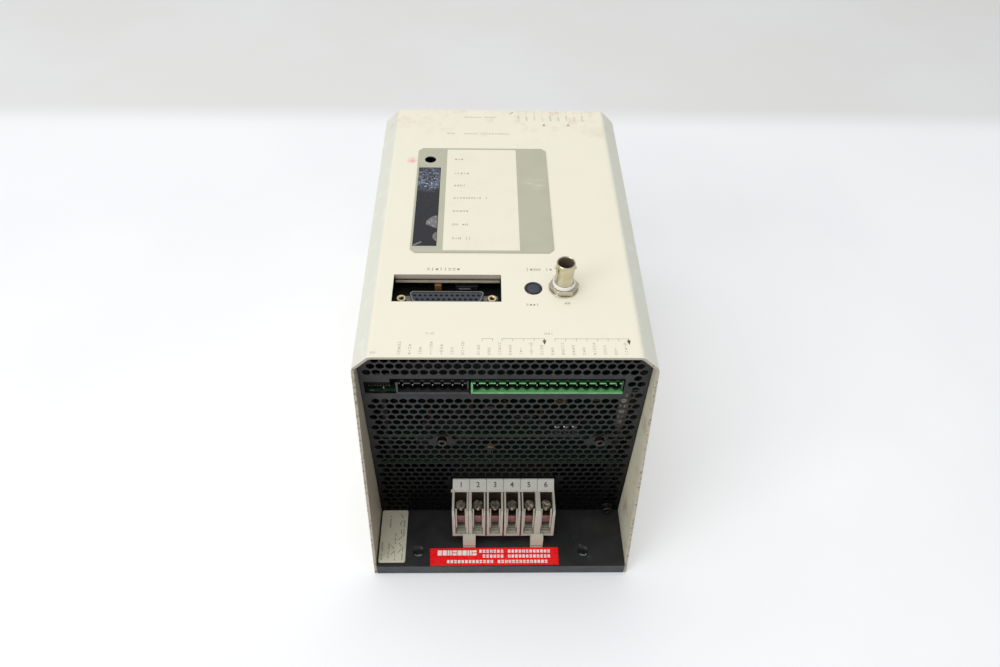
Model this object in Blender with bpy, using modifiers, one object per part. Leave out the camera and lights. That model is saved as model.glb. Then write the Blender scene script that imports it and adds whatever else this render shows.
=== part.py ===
"""A servo drive: boards and power parts on a thick base plate, under a bent sheet cover.

The cover has a vented grille at each end.

Units are metres. X runs across the drive, -Y is the wiring end with the terminal block, and +Z is up
from the base plate to the operator's face. The origin is the centre of the base plate's underside.
"""

import math

import bmesh
import bpy
from mathutils import Matrix, Vector

MM = 0.001
GAP = 0.3 * MM

# Cover and base
WIDTH = 150 * MM
HEIGHT = 160 * MM
TOP_LENGTH = 213 * MM
WING = 32 * MM
CHAMFER = 8.8 * MM
BEND_RADIUS = 4.5 * MM
BEND_STEPS = 4
SHEET = 1.6 * MM
BASE_THICKNESS = 8.5 * MM
MOUNT_HOLE_X = 49 * MM
MOUNT_HOLE_INSET = 9.8 * MM
MOUNT_HOLE_RADIUS = 2.2 * MM
MOUNT_SINK_RADIUS = 3.4 * MM

TOP_FRONT = -TOP_LENGTH / 2
BASE_FRONT = TOP_FRONT - WING
INNER_X = WIDTH / 2 - SHEET
BASE_TOP = BASE_THICKNESS

# Grilles
GRILLE_THICKNESS = 0.6 * MM
GRILLE_INSET = 5.3 * MM
GRILLE_FACE = TOP_FRONT + GRILLE_INSET
SLOT_LOW = 125.5 * MM
SLOT_HIGH = 137.4 * MM
DIP_SLOT_HIGH = 134.8 * MM
GRILLE_SCREW_Z = 86 * MM
GRILLE_SCREW_XS = (-33.3 * MM, 53.1 * MM)
GRILLE_FOOT_SCREW = (65.5 * MM, 13.6 * MM)

# Operator's face
OVERLAY_CENTRE = (-11.7 * MM, 15.2 * MM)
OVERLAY_SIZE = (78 * MM, 95.8 * MM)
OVERLAY_CORNER = 2.8 * MM
OVERLAY_THICKNESS = 0.4 * MM
RESET_AT = (-43.1 * MM, 51.3 * MM)
RESET_HOLE_RADIUS = 3.4 * MM
LED_WINDOW_CENTRE = (-43.0 * MM, 7.9 * MM)
LED_WINDOW_SIZE = (12.9 * MM, 70.6 * MM)
PROGRAMMER_CENTRE = (-29.65 * MM, -59.25 * MM)
PROGRAMMER_SIZE = (55.7 * MM, 19.7 * MM)
PROGRAMMER_LIP = 3.6 * MM
STATUS_AT = (14.8 * MM, -59.4 * MM)
STATUS_RADIUS = 4.6 * MM
BNC_AT = (30.4 * MM, -59.1 * MM)
BNC_HEIGHT = 18 * MM

# Boards, each given by its top face
BOARD_THICKNESS = 1.6 * MM
BOARD_HALF_X = 71 * MM
BOARD_FRONT = -98.3 * MM
BOARD_BACK = 98.3 * MM
FACE_BOARD_TOP = 148.6 * MM
CONTROL_BOARD_TOP = 125.2 * MM
DRIVE_BOARD_TOP = 84 * MM
POWER_BOARD_TOP = 59 * MM
STANDOFF_AT = (64.3 * MM, 95 * MM)
STANDOFF_RADIUS = 2.9 * MM

# Wiring headers
PIN_PITCH = 5.08 * MM
PIN_Z = 130.1 * MM
PIN_SIDE = 1.0 * MM
BLACK_HEADER_WAYS = 7
BLACK_HEADER_FIRST_PIN = -51.9 * MM
GREEN_HEADER_WAYS = 15
GREEN_HEADER_FIRST_PIN = -13.9 * MM
REAR_HEADER_WAYS = 9
REAR_HEADER_FIRST_PIN = 11.9 * MM
HEADER_END = 3.3 * MM
HEADER_DEPTH = 12 * MM
HEADER_LOW = 125.8 * MM
HEADER_HIGH = 134.8 * MM
HEADER_WALL = 1.1 * MM

# Programmer socket, a 25-way D connector
SOCKET_CENTRE = (-29.9 * MM, -61.3 * MM)
SOCKET_SHELL = (38.3 * MM, 7.9 * MM)
SOCKET_FLANGE = (53 * MM, 12.5 * MM, 0.8 * MM)
SOCKET_RISE = 5.9 * MM
JACK_SCREW_SPACING = 47.04 * MM

# Selector switch
DIP_CENTRE_X = -64.3 * MM
DIP_SIZE = (11.7 * MM, 9 * MM, 5 * MM)
DIP_FRONT = -96.6 * MM
DIP_PITCH = 2.54 * MM
DIP_WAYS = 4
DIP_TRAVEL = 2 * MM

# Power terminals
CELLS = 6
CELL_PITCH = 10 * MM
BLOCK_X = 1.2 * MM
BLOCK_Y = -101.8 * MM
BLOCK_HALF_LENGTH = 21.6 * MM
BLOCK_LOW = 17.5 * MM
BLOCK_TOP = 40.3 * MM
BLOCK_SLOPE = 3.2 * MM
CHANNEL_BACK = -104.5 * MM
CHANNEL_WIDE = 7.2 * MM
CHANNEL_NARROW = 5.4 * MM
CHANNEL_MOUTH = 6.4 * MM
CHANNEL_FLOOR = 20.4 * MM
SCREW_Y = -112.7 * MM
SCREW_HEAD_RADIUS = 2.8 * MM
SCREW_HEAD_LOW = 32.7 * MM
SCREW_HEAD_HIGH = 35.5 * MM
SCREW_SHANK_RADIUS = 1.3 * MM
CLAMP_SIZE = (4.6 * MM, 8.4 * MM, 8.8 * MM)
CLAMP_CENTRE_Y = -113.1 * MM
CLAMP_LOW = 21.0 * MM
RAIL_HALF_WIDTH = 17.5 * MM
RAIL_HEIGHT = 7.5 * MM
RAIL_THICKNESS = 1.0 * MM
FOOT_WIDTH = 7.4 * MM


def clear_scene():
    for obj in list(bpy.data.objects):
        bpy.data.objects.remove(obj, do_unlink=True)


def new_collection(name):
    found = bpy.data.collections.new(name)
    bpy.context.scene.collection.children.link(found)
    return found


def material(name, colour, roughness, metallic=0.0):
    made = bpy.data.materials.new(name)
    made.use_nodes = True
    shader = made.node_tree.nodes["Principled BSDF"]
    shader.inputs["Base Color"].default_value = (*colour, 1.0)
    shader.inputs["Roughness"].default_value = roughness
    shader.inputs["Metallic"].default_value = metallic
    return made


def add_object(name, mesh, look=None, location=(0, 0, 0)):
    """Puts a mesh in the drive's collection, under the drive's empty."""
    obj = bpy.data.objects.new(name, mesh)
    parts.objects.link(obj)
    obj.location = location
    obj.parent = drive
    if look:
        mesh.materials.append(look)
    return obj


def add_cutter(name, mesh, location=(0, 0, 0)):
    obj = bpy.data.objects.new(name, mesh)
    cutters.objects.link(obj)
    obj.location = location
    obj.hide_render = True
    obj.display_type = "WIRE"
    return obj


def mesh_from(name, work):
    bmesh.ops.recalc_face_normals(work, faces=work.faces)
    mesh = bpy.data.meshes.new(name)
    work.to_mesh(mesh)
    work.free()
    return mesh


def box_mesh(name, size):
    work = bmesh.new()
    bmesh.ops.create_cube(work, size=1.0)
    bmesh.ops.scale(work, vec=Vector(size), verts=work.verts)
    return mesh_from(name, work)


def cylinder_mesh(name, radius, depth, sides=24, axis="Z", top_radius=None):
    work = bmesh.new()
    bmesh.ops.create_cone(
        work,
        cap_ends=True,
        segments=sides,
        radius1=radius,
        radius2=radius if top_radius is None else top_radius,
        depth=depth,
    )
    turns = {"X": ("Y", 90), "Y": ("X", 90)}
    if axis in turns:
        about, angle = turns[axis]
        turn = Matrix.Rotation(math.radians(angle), 3, about)
        bmesh.ops.rotate(work, cent=(0, 0, 0), matrix=turn, verts=work.verts)
    return mesh_from(name, work)


def prism_mesh(name, outline, low, high, axis):
    """An outline extruded between two places along X, Y or Z. Its two numbers are the other two axes."""
    order = {"X": lambda a, b: (low, a, b), "Y": lambda a, b: (a, low, b), "Z": lambda a, b: (a, b, low)}
    along = {"X": (high - low, 0, 0), "Y": (0, high - low, 0), "Z": (0, 0, high - low)}
    work = bmesh.new()
    corners = [work.verts.new(order[axis](a, b)) for a, b in outline]
    face = work.faces.new(corners)
    raised = bmesh.ops.extrude_face_region(work, geom=[face])
    moved = [item for item in raised["geom"] if isinstance(item, bmesh.types.BMVert)]
    bmesh.ops.translate(work, vec=along[axis], verts=moved)
    return mesh_from(name, work)


def box(name, low, high, look):
    """A box from its lowest and highest corners, with its origin at its centre."""
    size = [b - a for a, b in zip(low, high)]
    centre = [(a + b) / 2 for a, b in zip(low, high)]
    return add_object(name, box_mesh(name, size), look, centre)


def box_cutter(name, low, high):
    size = [b - a for a, b in zip(low, high)]
    centre = [(a + b) / 2 for a, b in zip(low, high)]
    return add_cutter(name, box_mesh(name, size), centre)


def boolean(obj, other, operation="DIFFERENCE"):
    step = obj.modifiers.new(operation.title() + "_" + other.name, "BOOLEAN")
    step.operation = operation
    step.solver = "EXACT"
    step.object = other


def joined(obj, other):
    """Joins a helper solid to the object; the helper itself isn't a part."""
    other.hide_render = True
    other.display_type = "WIRE"
    boolean(obj, other, "UNION")


def bevelled(obj, width, segments=1, angle=30):
    step = obj.modifiers.new("Bevel", "BEVEL")
    step.width = width
    step.segments = segments
    step.limit_method = "ANGLE"
    step.angle_limit = math.radians(angle)


def smoothed(obj):
    obj.data.shade_smooth()
    obj.data.set_sharp_from_angle(angle=math.radians(35))
    return obj


def turned(name, profile, look, location, steps=24):
    """A solid of revolution about Z, from a profile of (radius, height) that runs from axis to axis."""
    mesh = bpy.data.meshes.new(name)
    points = [(radius, 0, height) for radius, height in profile]
    mesh.from_pydata(points, [(i, i + 1) for i in range(len(points) - 1)], [])
    obj = add_object(name, mesh, look, location)
    screw = obj.modifiers.new("Screw", "SCREW")
    screw.steps = steps
    screw.render_steps = steps
    screw.use_merge_vertices = True
    screw.merge_threshold = 0.00001
    return obj


def rounded_rectangle(width, height, corner, arc_steps=1):
    """An outline about the origin. With one arc step, its corners are plain chamfers."""
    points = []
    for quarter in range(4):
        sign_x = (1, -1, -1, 1)[quarter]
        sign_y = (1, 1, -1, -1)[quarter]
        centre_x = sign_x * (width / 2 - corner)
        centre_y = sign_y * (height / 2 - corner)
        for step in range(arc_steps + 1):
            angle = math.radians(90 * quarter + 90 * step / arc_steps)
            points.append((centre_x + corner * math.cos(angle), centre_y + corner * math.sin(angle)))
    return points


def shifted(outline, dx, dy):
    return [(x + dx, y + dy) for x, y in outline]


# Cover, base and grilles


def bend(corner, start_angle):
    """The points of one 45 degree bend, round the place where the sheet's two flat sides would meet."""
    reach = BEND_RADIUS * math.tan(math.radians(22.5))
    start = math.radians(start_angle)
    toward = (math.sin(start), math.cos(start))
    centre_x = corner[0] - toward[0] * reach + math.cos(start) * BEND_RADIUS
    centre_z = corner[1] - toward[1] * reach - math.sin(start) * BEND_RADIUS
    points = []
    for step in range(BEND_STEPS + 1):
        angle = start + math.radians(45 * step / BEND_STEPS)
        points.append((centre_x - math.cos(angle) * BEND_RADIUS, centre_z + math.sin(angle) * BEND_RADIUS))
    return points


def cover_section(half_width, top, chamfer, foot):
    """The cover's U section, from the foot of one wall over the top to the foot of the other, as (x, z)."""
    left = [(-half_width, foot)]
    left += bend((-half_width, top - chamfer), 0)
    left += bend((-half_width + chamfer, top), 45)
    return left + [(-x, z) for x, z in reversed(left)]


def make_cover(look):
    """The bent sheet. Its walls run out into a wing at each end, sloping from the face down to the base."""
    section = cover_section(WIDTH / 2, HEIGHT, CHAMFER, GAP)
    work = bmesh.new()
    rows = []
    knee = HEIGHT - CHAMFER
    for end in (-1, 1):
        row = []
        for x, z in section:
            reach = -TOP_FRONT + WING * max(0, 1 - (z - GAP) / (knee - GAP))
            row.append(work.verts.new((x, end * reach, z)))
        rows.append(row)
    for i in range(len(section) - 1):
        work.faces.new((rows[0][i], rows[0][i + 1], rows[1][i + 1], rows[1][i]))
    cover = add_object("cover", mesh_from("cover", work), look)
    if cover.data.polygons[len(section) // 2 - 1].normal.z < 0:
        cover.data.flip_normals()
    sheet = cover.modifiers.new("Solidify", "SOLIDIFY")
    sheet.thickness = SHEET
    sheet.offset = -1
    sheet.use_even_offset = True
    for cutter in face_cutters():
        boolean(cover, cutter)
    boolean(cover, cover_screw_holes())
    x, y = PROGRAMMER_CENTRE
    half = PROGRAMMER_SIZE[0] / 2
    edge = y + PROGRAMMER_SIZE[1] / 2
    lip_low = HEIGHT - PROGRAMMER_LIP
    lip_corner = (x - half, edge, lip_low)
    lip = box("programmer_lip", lip_corner, (x + half, edge + SHEET, HEIGHT - SHEET / 2), look)
    joined(cover, lip)
    return cover


def face_cutters():
    low = HEIGHT - 3 * SHEET
    high = HEIGHT + 3 * SHEET
    centre_z = (low + high) / 2
    found = []
    openings = {
        "led_window": (LED_WINDOW_CENTRE, LED_WINDOW_SIZE),
        "programmer": (PROGRAMMER_CENTRE, PROGRAMMER_SIZE),
    }
    for name, ((x, y), (width, length)) in openings.items():
        low_corner = (x - width / 2, y - length / 2, low)
        high_corner = (x + width / 2, y + length / 2, high)
        found.append(box_cutter(name + "_opening", low_corner, high_corner))
    rounds = {
        "reset": (RESET_AT, RESET_HOLE_RADIUS),
        "status": (STATUS_AT, STATUS_RADIUS),
        "bnc": (BNC_AT, 5 * MM),
    }
    for name, ((x, y), radius) in rounds.items():
        hole = cylinder_mesh(name + "_hole", radius, high - low, 32)
        found.append(add_cutter(name + "_hole", hole, (x, y, centre_z)))
    return found


COVER_SCREW_Y = 92 * MM
COVER_SCREW_Z = 4.3 * MM


def cover_screw_holes():
    """Two bars across the drive, which cut the cover's four screw holes."""
    rod = cylinder_mesh("cover_screw_bar", 1.6 * MM, 2 * WIDTH, 12, "X")
    front = add_cutter("cover_screw_holes", rod, (0, -COVER_SCREW_Y, COVER_SCREW_Z))
    back = add_cutter("cover_screw_holes_back", rod, (0, COVER_SCREW_Y, COVER_SCREW_Z))
    boolean(front, back, "UNION")
    return front


def make_base_plate(look):
    low = (-INNER_X + GAP, BASE_FRONT, 0)
    plate = box("base_plate", low, (INNER_X - GAP, -BASE_FRONT, BASE_TOP), look)
    for side in (-1, 1):
        for end in (-1, 1):
            place = (side * MOUNT_HOLE_X, end * (-BASE_FRONT - MOUNT_HOLE_INSET), 0)
            hole = cylinder_mesh("mount_hole", MOUNT_HOLE_RADIUS, 3 * BASE_THICKNESS, 20)
            boolean(plate, add_cutter(f"mount_hole_{side}_{end}", hole, place))
            depth = MOUNT_SINK_RADIUS - MOUNT_HOLE_RADIUS
            wide = MOUNT_SINK_RADIUS + depth
            sink = cylinder_mesh("mount_sink", MOUNT_HOLE_RADIUS, 2 * depth, 20, "Z", wide)
            boolean(plate, add_cutter(f"mount_sink_{side}_{end}", sink, (place[0], place[1], BASE_TOP)))
        pocket = (side * (INNER_X - 4 * MM), 0, COVER_SCREW_Z)
        for end in (-1, 1):
            drilled = cylinder_mesh("screw_pocket", 1.7 * MM, 10 * MM, 12, "X")
            place = (pocket[0], end * COVER_SCREW_Y, COVER_SCREW_Z)
            boolean(plate, add_cutter(f"screw_pocket_{side}_{end}", drilled, place))
    return plate


def grille_outline():
    """The grille's outline inside the cover, as (x, z)."""
    half = INNER_X - GAP
    top = HEIGHT - SHEET - GAP
    slope = CHAMFER - SHEET * (2 - math.sqrt(2))
    section = [(-half, BASE_TOP + GAP), (-half, top - slope), (-half + slope, top)]
    return section + [(-x, z) for x, z in reversed(section)]


def make_front_grille(look):
    back = GRILLE_FACE + GRILLE_THICKNESS
    mesh = prism_mesh("front_grille", grille_outline(), GRILLE_FACE, back, "Y")
    grille = add_object("front_grille", mesh, look)
    low = GRILLE_FACE - GRILLE_THICKNESS
    high = back + GRILLE_THICKNESS
    step_x = -57 * MM
    slots = (
        ("header_slot", (step_x - 1 * MM, low, SLOT_LOW), (61.3 * MM, high, SLOT_HIGH)),
        ("dip_slot", (-71.2 * MM, low, SLOT_LOW), (step_x, high, DIP_SLOT_HIGH)),
        ("terminal_notch", (BLOCK_X - 30.6 * MM, low, 0), (BLOCK_X + 30.6 * MM, high, 46.9 * MM)),
    )
    for name, low_corner, high_corner in slots:
        boolean(grille, box_cutter(name, low_corner, high_corner))
    places = [(x, GRILLE_SCREW_Z) for x in GRILLE_SCREW_XS] + [GRILLE_FOOT_SCREW]
    cut_grille_screw_holes(grille, "front", places, (low + high) / 2)
    return grille


def cut_grille_screw_holes(grille, end, places, centre_y):
    for number, (x, z) in enumerate(places):
        hole = cylinder_mesh("grille_hole", 1.7 * MM, 6 * GRILLE_THICKNESS, 16, "Y")
        boolean(grille, add_cutter(f"{end}_grille_hole_{number}", hole, (x, centre_y, z)))


def make_rear_grille(look):
    near = -GRILLE_FACE - GRILLE_THICKNESS
    mesh = prism_mesh("rear_grille", grille_outline(), near, -GRILLE_FACE, "Y")
    grille = add_object("rear_grille", mesh, look)
    first = REAR_HEADER_FIRST_PIN - HEADER_END - 2 * MM
    last = REAR_HEADER_FIRST_PIN + (REAR_HEADER_WAYS - 1) * PIN_PITCH + HEADER_END + 2 * MM
    low_corner = (first, near - GRILLE_THICKNESS, SLOT_LOW)
    slot = box_cutter("rear_slot", low_corner, (last, -GRILLE_FACE + 2 * MM, SLOT_HIGH))
    boolean(grille, slot)
    return grille


def pan_head_profile(head_radius=2.7 * MM, shank_radius=1.3 * MM, length=7 * MM):
    head = 1.7 * MM
    return [
        (0, head),
        (head_radius * 0.55, head),
        (head_radius * 0.9, head * 0.72),
        (head_radius, head * 0.3),
        (head_radius, 0),
        (shank_radius, 0),
        (shank_radius, -length),
        (0, -length),
    ]


def cap_screw_profile(length=2.4 * MM):
    """An M3 cap screw with its driver recess, and the flat washer it is pulled down on."""
    head = 2.75 * MM
    top = 3.5 * MM
    washer = 0.5 * MM
    recess = 1.3 * MM
    return [
        (0, top - 1.5 * MM),
        (recess, top - 1.5 * MM),
        (recess, top),
        (head - 0.3 * MM, top),
        (head, top - 0.3 * MM),
        (head, washer),
        (3.5 * MM, washer),
        (3.5 * MM, 0),
        (1.4 * MM, 0),
        (1.4 * MM, -length),
        (0, -length),
    ]


def make_screw(name, profile, place, axis, direction, look):
    """A screw set along X or Y with its head facing direction."""
    screw = turned(name, profile, look, place, 16)
    screw.rotation_euler = {
        ("Y", -1): (math.radians(90), 0, 0),
        ("Y", 1): (math.radians(-90), 0, 0),
        ("X", -1): (0, math.radians(-90), 0),
        ("X", 1): (0, math.radians(90), 0),
    }[(axis, direction)]
    return screw


def make_fasteners(black_screw, zinc):
    names = ("grille_screw_left", "grille_screw_right", "grille_foot_screw")
    places = [(x, GRILLE_SCREW_Z) for x in GRILLE_SCREW_XS] + [GRILLE_FOOT_SCREW]
    for name, (x, z) in zip(names, places):
        make_screw(name, cap_screw_profile(), (x, GRILLE_FACE - GAP, z), "Y", -1, black_screw)
    for side, side_name in ((-1, "left"), (1, "right")):
        for end, end_name in ((-1, "front"), (1, "rear")):
            place = (side * (WIDTH / 2 + GAP / 2), end * COVER_SCREW_Y, COVER_SCREW_Z)
            make_screw(f"cover_screw_{end_name}_{side_name}", pan_head_profile(), place, "X", side, zinc)


# Operator's face


def make_overlay(look):
    outline = shifted(rounded_rectangle(*OVERLAY_SIZE, OVERLAY_CORNER), *OVERLAY_CENTRE)
    low = HEIGHT + 0.1 * MM
    mesh = prism_mesh("face_overlay", outline, low, low + OVERLAY_THICKNESS, "Z")
    overlay = add_object("face_overlay", mesh, look)
    x, y = LED_WINDOW_CENTRE
    width, length = (side / 2 + 0.1 * MM for side in LED_WINDOW_SIZE)
    low_corner = (x - width, y - length, HEIGHT - MM)
    boolean(overlay, box_cutter("overlay_window", low_corner, (x + width, y + length, HEIGHT + 2 * MM)))
    hole = cylinder_mesh("overlay_reset_hole", RESET_HOLE_RADIUS, 6 * MM, 32)
    boolean(overlay, add_cutter("overlay_reset_hole", hole, (*RESET_AT, HEIGHT)))
    return overlay


def make_windows(dark):
    x, y = LED_WINDOW_CENTRE
    width, length = (side / 2 - 0.15 * MM for side in LED_WINDOW_SIZE)
    low = (x - width, y - length, HEIGHT - SHEET)
    window = box("led_window", low, (x + width, y + length, HEIGHT + 0.42 * MM), dark)
    bevelled(window, 0.15 * MM)
    rim = STATUS_RADIUS - 0.15 * MM
    profile = [(0, 0.1 * MM), (rim - 1 * MM, 0.1 * MM), (rim - 0.8 * MM, 0.35 * MM), (rim, 0.35 * MM)]
    profile += [(rim, -SHEET), (0, -SHEET)]
    smoothed(turned("status_window", profile, dark, (*STATUS_AT, HEIGHT), 32))


def make_bnc(nickel, white):
    """A bayonet coaxial socket, held to the cover by its washer, nut and insulating ring."""
    outer = 4.8 * MM
    bore = 4.1 * MM
    top = BNC_HEIGHT
    profile = [
        (bore, top),
        (outer, top - 0.5 * MM),
        (outer, 3.5 * MM),
        (outer, -9 * MM),
        (1.9 * MM, -9 * MM),
        (1.9 * MM, 4.5 * MM),
        (bore, 4.5 * MM),
        (bore, top),
    ]
    body = turned("bnc_body", profile, nickel, (*BNC_AT, HEIGHT), 32)
    lug = cylinder_mesh("bnc_lugs", 0.9 * MM, 11.4 * MM, 12, "X")
    lugs = add_object("bnc_lugs", lug, nickel, (*BNC_AT, HEIGHT + top - 3.6 * MM))
    bore_mesh = cylinder_mesh("bnc_bore", bore, 6 * MM, 32)
    boolean(lugs, add_cutter("bnc_bore", bore_mesh, (*BNC_AT, HEIGHT + top - 3.6 * MM)))
    joined(body, lugs)
    smoothed(body)
    insulator = [(0, 12.6 * MM), (2.4 * MM, 12.6 * MM), (2.4 * MM, 4.8 * MM)]
    insulator += [(1.6 * MM, 4.8 * MM), (1.6 * MM, -11 * MM)]
    insulator += [(0, -11 * MM)]
    smoothed(turned("bnc_insulator", insulator, white, (*BNC_AT, HEIGHT), 24))
    rings = (
        ("bnc_washer", 7.6 * MM, 0.15 * MM, 0.75 * MM, nickel, 32),
        ("bnc_nut", 7.9 * MM, 0.9 * MM, 3.1 * MM, nickel, 6),
        ("bnc_ring", 5.9 * MM, 3.25 * MM, 5.0 * MM, white, 32),
    )
    for name, radius, low, high, look, sides in rings:
        ring = add_object(name, cylinder_mesh(name, radius, high - low, sides), look)
        ring.location = (*BNC_AT, HEIGHT + (low + high) / 2)
        hole = cylinder_mesh(name + "_hole", outer + 0.15 * MM, 10 * MM, 32)
        boolean(ring, add_cutter(name + "_hole", hole, ring.location))


def d_outline(width, height, slope=1.4 * MM, corner=1.2 * MM):
    """The D shape of the socket: its far side is the wider one."""
    far = width / 2
    near = far - slope
    return [
        (-far + corner, height / 2),
        (-far, height / 2 - corner),
        (-near, -height / 2 + corner),
        (-near + corner, -height / 2),
        (near - corner, -height / 2),
        (near, -height / 2 + corner),
        (far, height / 2 - corner),
        (far - corner, height / 2),
    ]


def make_programmer_socket(tin, plastic, brass):
    """The 25-way socket stands on the face board, below the opening in the cover."""
    x, y = SOCKET_CENTRE
    flange_low = FACE_BOARD_TOP + GAP
    flange_high = flange_low + SOCKET_FLANGE[2]
    top = flange_high + SOCKET_RISE
    half_x, half_y = SOCKET_FLANGE[0] / 2, SOCKET_FLANGE[1] / 2
    low = (x - half_x, y - half_y, flange_low)
    shell = box("programmer_socket_shell", low, (x + half_x, y + half_y, flange_high), tin)
    outline = shifted(d_outline(*SOCKET_SHELL), x, y)
    rise_mesh = prism_mesh("socket_rise", outline, flange_low + 0.2 * MM, top, "Z")
    rise = add_object("socket_rise", rise_mesh, tin)
    joined(shell, rise)
    wall = 0.5 * MM
    inner = shifted(d_outline(SOCKET_SHELL[0] - 2 * wall, SOCKET_SHELL[1] - 2 * wall), x, y)
    hollow = prism_mesh("socket_hollow", inner, flange_low - 2 * MM, top + 2 * MM, "Z")
    boolean(shell, add_cutter("socket_hollow", hollow))
    gap = 0.15 * MM
    core = d_outline(SOCKET_SHELL[0] - 2 * (wall + gap), SOCKET_SHELL[1] - 2 * (wall + gap))
    core_mesh = prism_mesh("programmer_socket_insert", shifted(core, x, y), flange_low, top - 0.3 * MM, "Z")
    add_object("programmer_socket_insert", core_mesh, plastic)
    for side, name in ((-1, "left"), (1, "right")):
        place_x = x + side * JACK_SCREW_SPACING / 2
        hole = cylinder_mesh("socket_ear_hole", 1.65 * MM, 8 * MM, 16)
        boolean(shell, add_cutter("socket_ear_" + name, hole, (place_x, y, flange_low)))
        profile = [(1.4 * MM, 4.8 * MM), (2.2 * MM, 4.8 * MM), (2.5 * MM, 4.4 * MM), (2.5 * MM, 0.2 * MM)]
        profile += [(1.45 * MM, 0.2 * MM), (1.45 * MM, -1 * MM), (0, -1 * MM)]
        profile += [(0, 1.4 * MM), (1.4 * MM, 1.4 * MM)]
        profile += [profile[0]]
        smoothed(turned("jack_screw_" + name, profile, brass, (place_x, y, flange_high), 20))


def make_reset(grey, black):
    x, y = RESET_AT
    low = FACE_BOARD_TOP + GAP
    half = 3.0 * MM
    body = box("reset_switch_body", (x - half, y - half, low), (x + half, y + half, low + 3.4 * MM), black)
    bevelled(body, 0.3 * MM)
    well = cylinder_mesh("reset_well", 1.9 * MM, 6 * MM, 20)
    boolean(body, add_cutter("reset_well", well, (x, y, low + 4.2 * MM)))
    cap_low = 4.6 * MM
    cap_high = 6.6 * MM
    stem = 1.6 * MM
    profile = [(0, cap_high), (2.3 * MM, cap_high), (2.8 * MM, cap_high - 0.5 * MM), (2.8 * MM, cap_low)]
    profile += [(stem, cap_low), (stem, 2.4 * MM), (0, 2.4 * MM)]
    smoothed(turned("reset_button", profile, grey, (x, y, low), 20))


# Boards and what stands on them


def make_board(name, top, half_x, front, back, look, bored=False):
    board = box(name, (-half_x, front, top - BOARD_THICKNESS), (half_x, back, top), look)
    if bored:
        for side in (-1, 1):
            for end in (-1, 1):
                place = (side * STANDOFF_AT[0], end * STANDOFF_AT[1], top)
                hole = cylinder_mesh("standoff_hole", STANDOFF_RADIUS + 0.3 * MM, 8 * MM, 12)
                boolean(board, add_cutter(f"{name}_hole_{side}_{end}", hole, place))
    return board


def make_boards(green, dark_green):
    make_board("control_board", CONTROL_BOARD_TOP, BOARD_HALF_X, BOARD_FRONT, BOARD_BACK, green)
    make_board("drive_board", DRIVE_BOARD_TOP, BOARD_HALF_X, BOARD_FRONT, BOARD_BACK, green, True)
    make_board("power_board", POWER_BOARD_TOP, BOARD_HALF_X, BOARD_FRONT, BOARD_BACK, green, True)
    top = FACE_BOARD_TOP
    low = (-60 * MM, -72 * MM, top - BOARD_THICKNESS)
    face_board = box("face_board", low, (22 * MM, 58 * MM, top), dark_green)
    for side in (-1, 1):
        x = SOCKET_CENTRE[0] + side * JACK_SCREW_SPACING / 2
        hole = cylinder_mesh("face_board_hole", 1.7 * MM, 8 * MM, 16)
        boolean(face_board, add_cutter(f"face_board_hole_{side}", hole, (x, SOCKET_CENTRE[1], top)))


def make_standoffs(look):
    low = BASE_TOP + GAP
    high = CONTROL_BOARD_TOP - BOARD_THICKNESS - GAP
    for side, side_name in ((-1, "left"), (1, "right")):
        for end, end_name in ((-1, "front"), (1, "rear")):
            name = f"standoff_{end_name}_{side_name}"
            post = add_object(name, cylinder_mesh(name, STANDOFF_RADIUS, high - low, 6), look)
            post.location = (side * STANDOFF_AT[0], end * STANDOFF_AT[1], (low + high) / 2)


def make_header(name, first_pin, ways, face, look):
    """A pluggable pin header with an open front. Face is -1 at the wiring end and 1 at the other."""
    left = first_pin - HEADER_END
    right = first_pin + (ways - 1) * PIN_PITCH + HEADER_END
    mouth = abs(GRILLE_FACE) + 0.4 * MM
    seat = mouth - HEADER_DEPTH

    def span(near, far):
        return sorted((face * near, face * far))

    y_low, y_high = span(seat, mouth)
    header = box(name, (left, y_low, HEADER_LOW), (right, y_high, HEADER_HIGH), look)
    y_low, y_high = span(seat + 2.2 * MM, mouth + 2 * MM)
    wall = HEADER_WALL
    low = (left + wall, y_low, HEADER_LOW + wall)
    boolean(header, box_cutter(name + "_mouth", low, (right - wall, y_high, HEADER_HIGH - wall)))
    pins_low, pins_high = span(seat + 1 * MM, mouth - 2 * MM)
    half = PIN_SIDE / 2
    for way in range(ways):
        x = first_pin + way * PIN_PITCH
        low = (x - half, pins_low, PIN_Z - half)
        pin = box(f"{name}_pin_{way}", low, (x + half, pins_high, PIN_Z + half), look)
        joined(header, pin)
    return header


def make_dip_switch(body_look, slider_look):
    """A four-way selector on the control board. Each slider moves front to back in its slot."""
    width, depth, height = DIP_SIZE
    low_z = CONTROL_BOARD_TOP + GAP
    low = (DIP_CENTRE_X - width / 2, DIP_FRONT, low_z)
    high = (DIP_CENTRE_X + width / 2, DIP_FRONT + depth, low_z + height)
    body = box("dip_switch_body", low, high, body_look)
    middle = DIP_FRONT + depth / 2
    for way in range(DIP_WAYS):
        x = DIP_CENTRE_X + (way - (DIP_WAYS - 1) / 2) * DIP_PITCH
        slot_low = (x - 0.75 * MM, middle - 2.2 * MM, low_z + height - 1.6 * MM)
        slot_high = (x + 0.75 * MM, middle + 2.2 * MM, low_z + height + 2 * MM)
        boolean(body, box_cutter(f"dip_slot_{way + 1}", slot_low, slot_high))
        slider_low = (x - 0.6 * MM, middle - 1.7 * MM, low_z + height - 1.4 * MM)
        slider_high = (x + 0.6 * MM, middle - 1.7 * MM + 1.4 * MM, low_z + height + 0.5 * MM)
        box(f"dip_slider_{way + 1}", slider_low, slider_high, slider_look)


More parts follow.
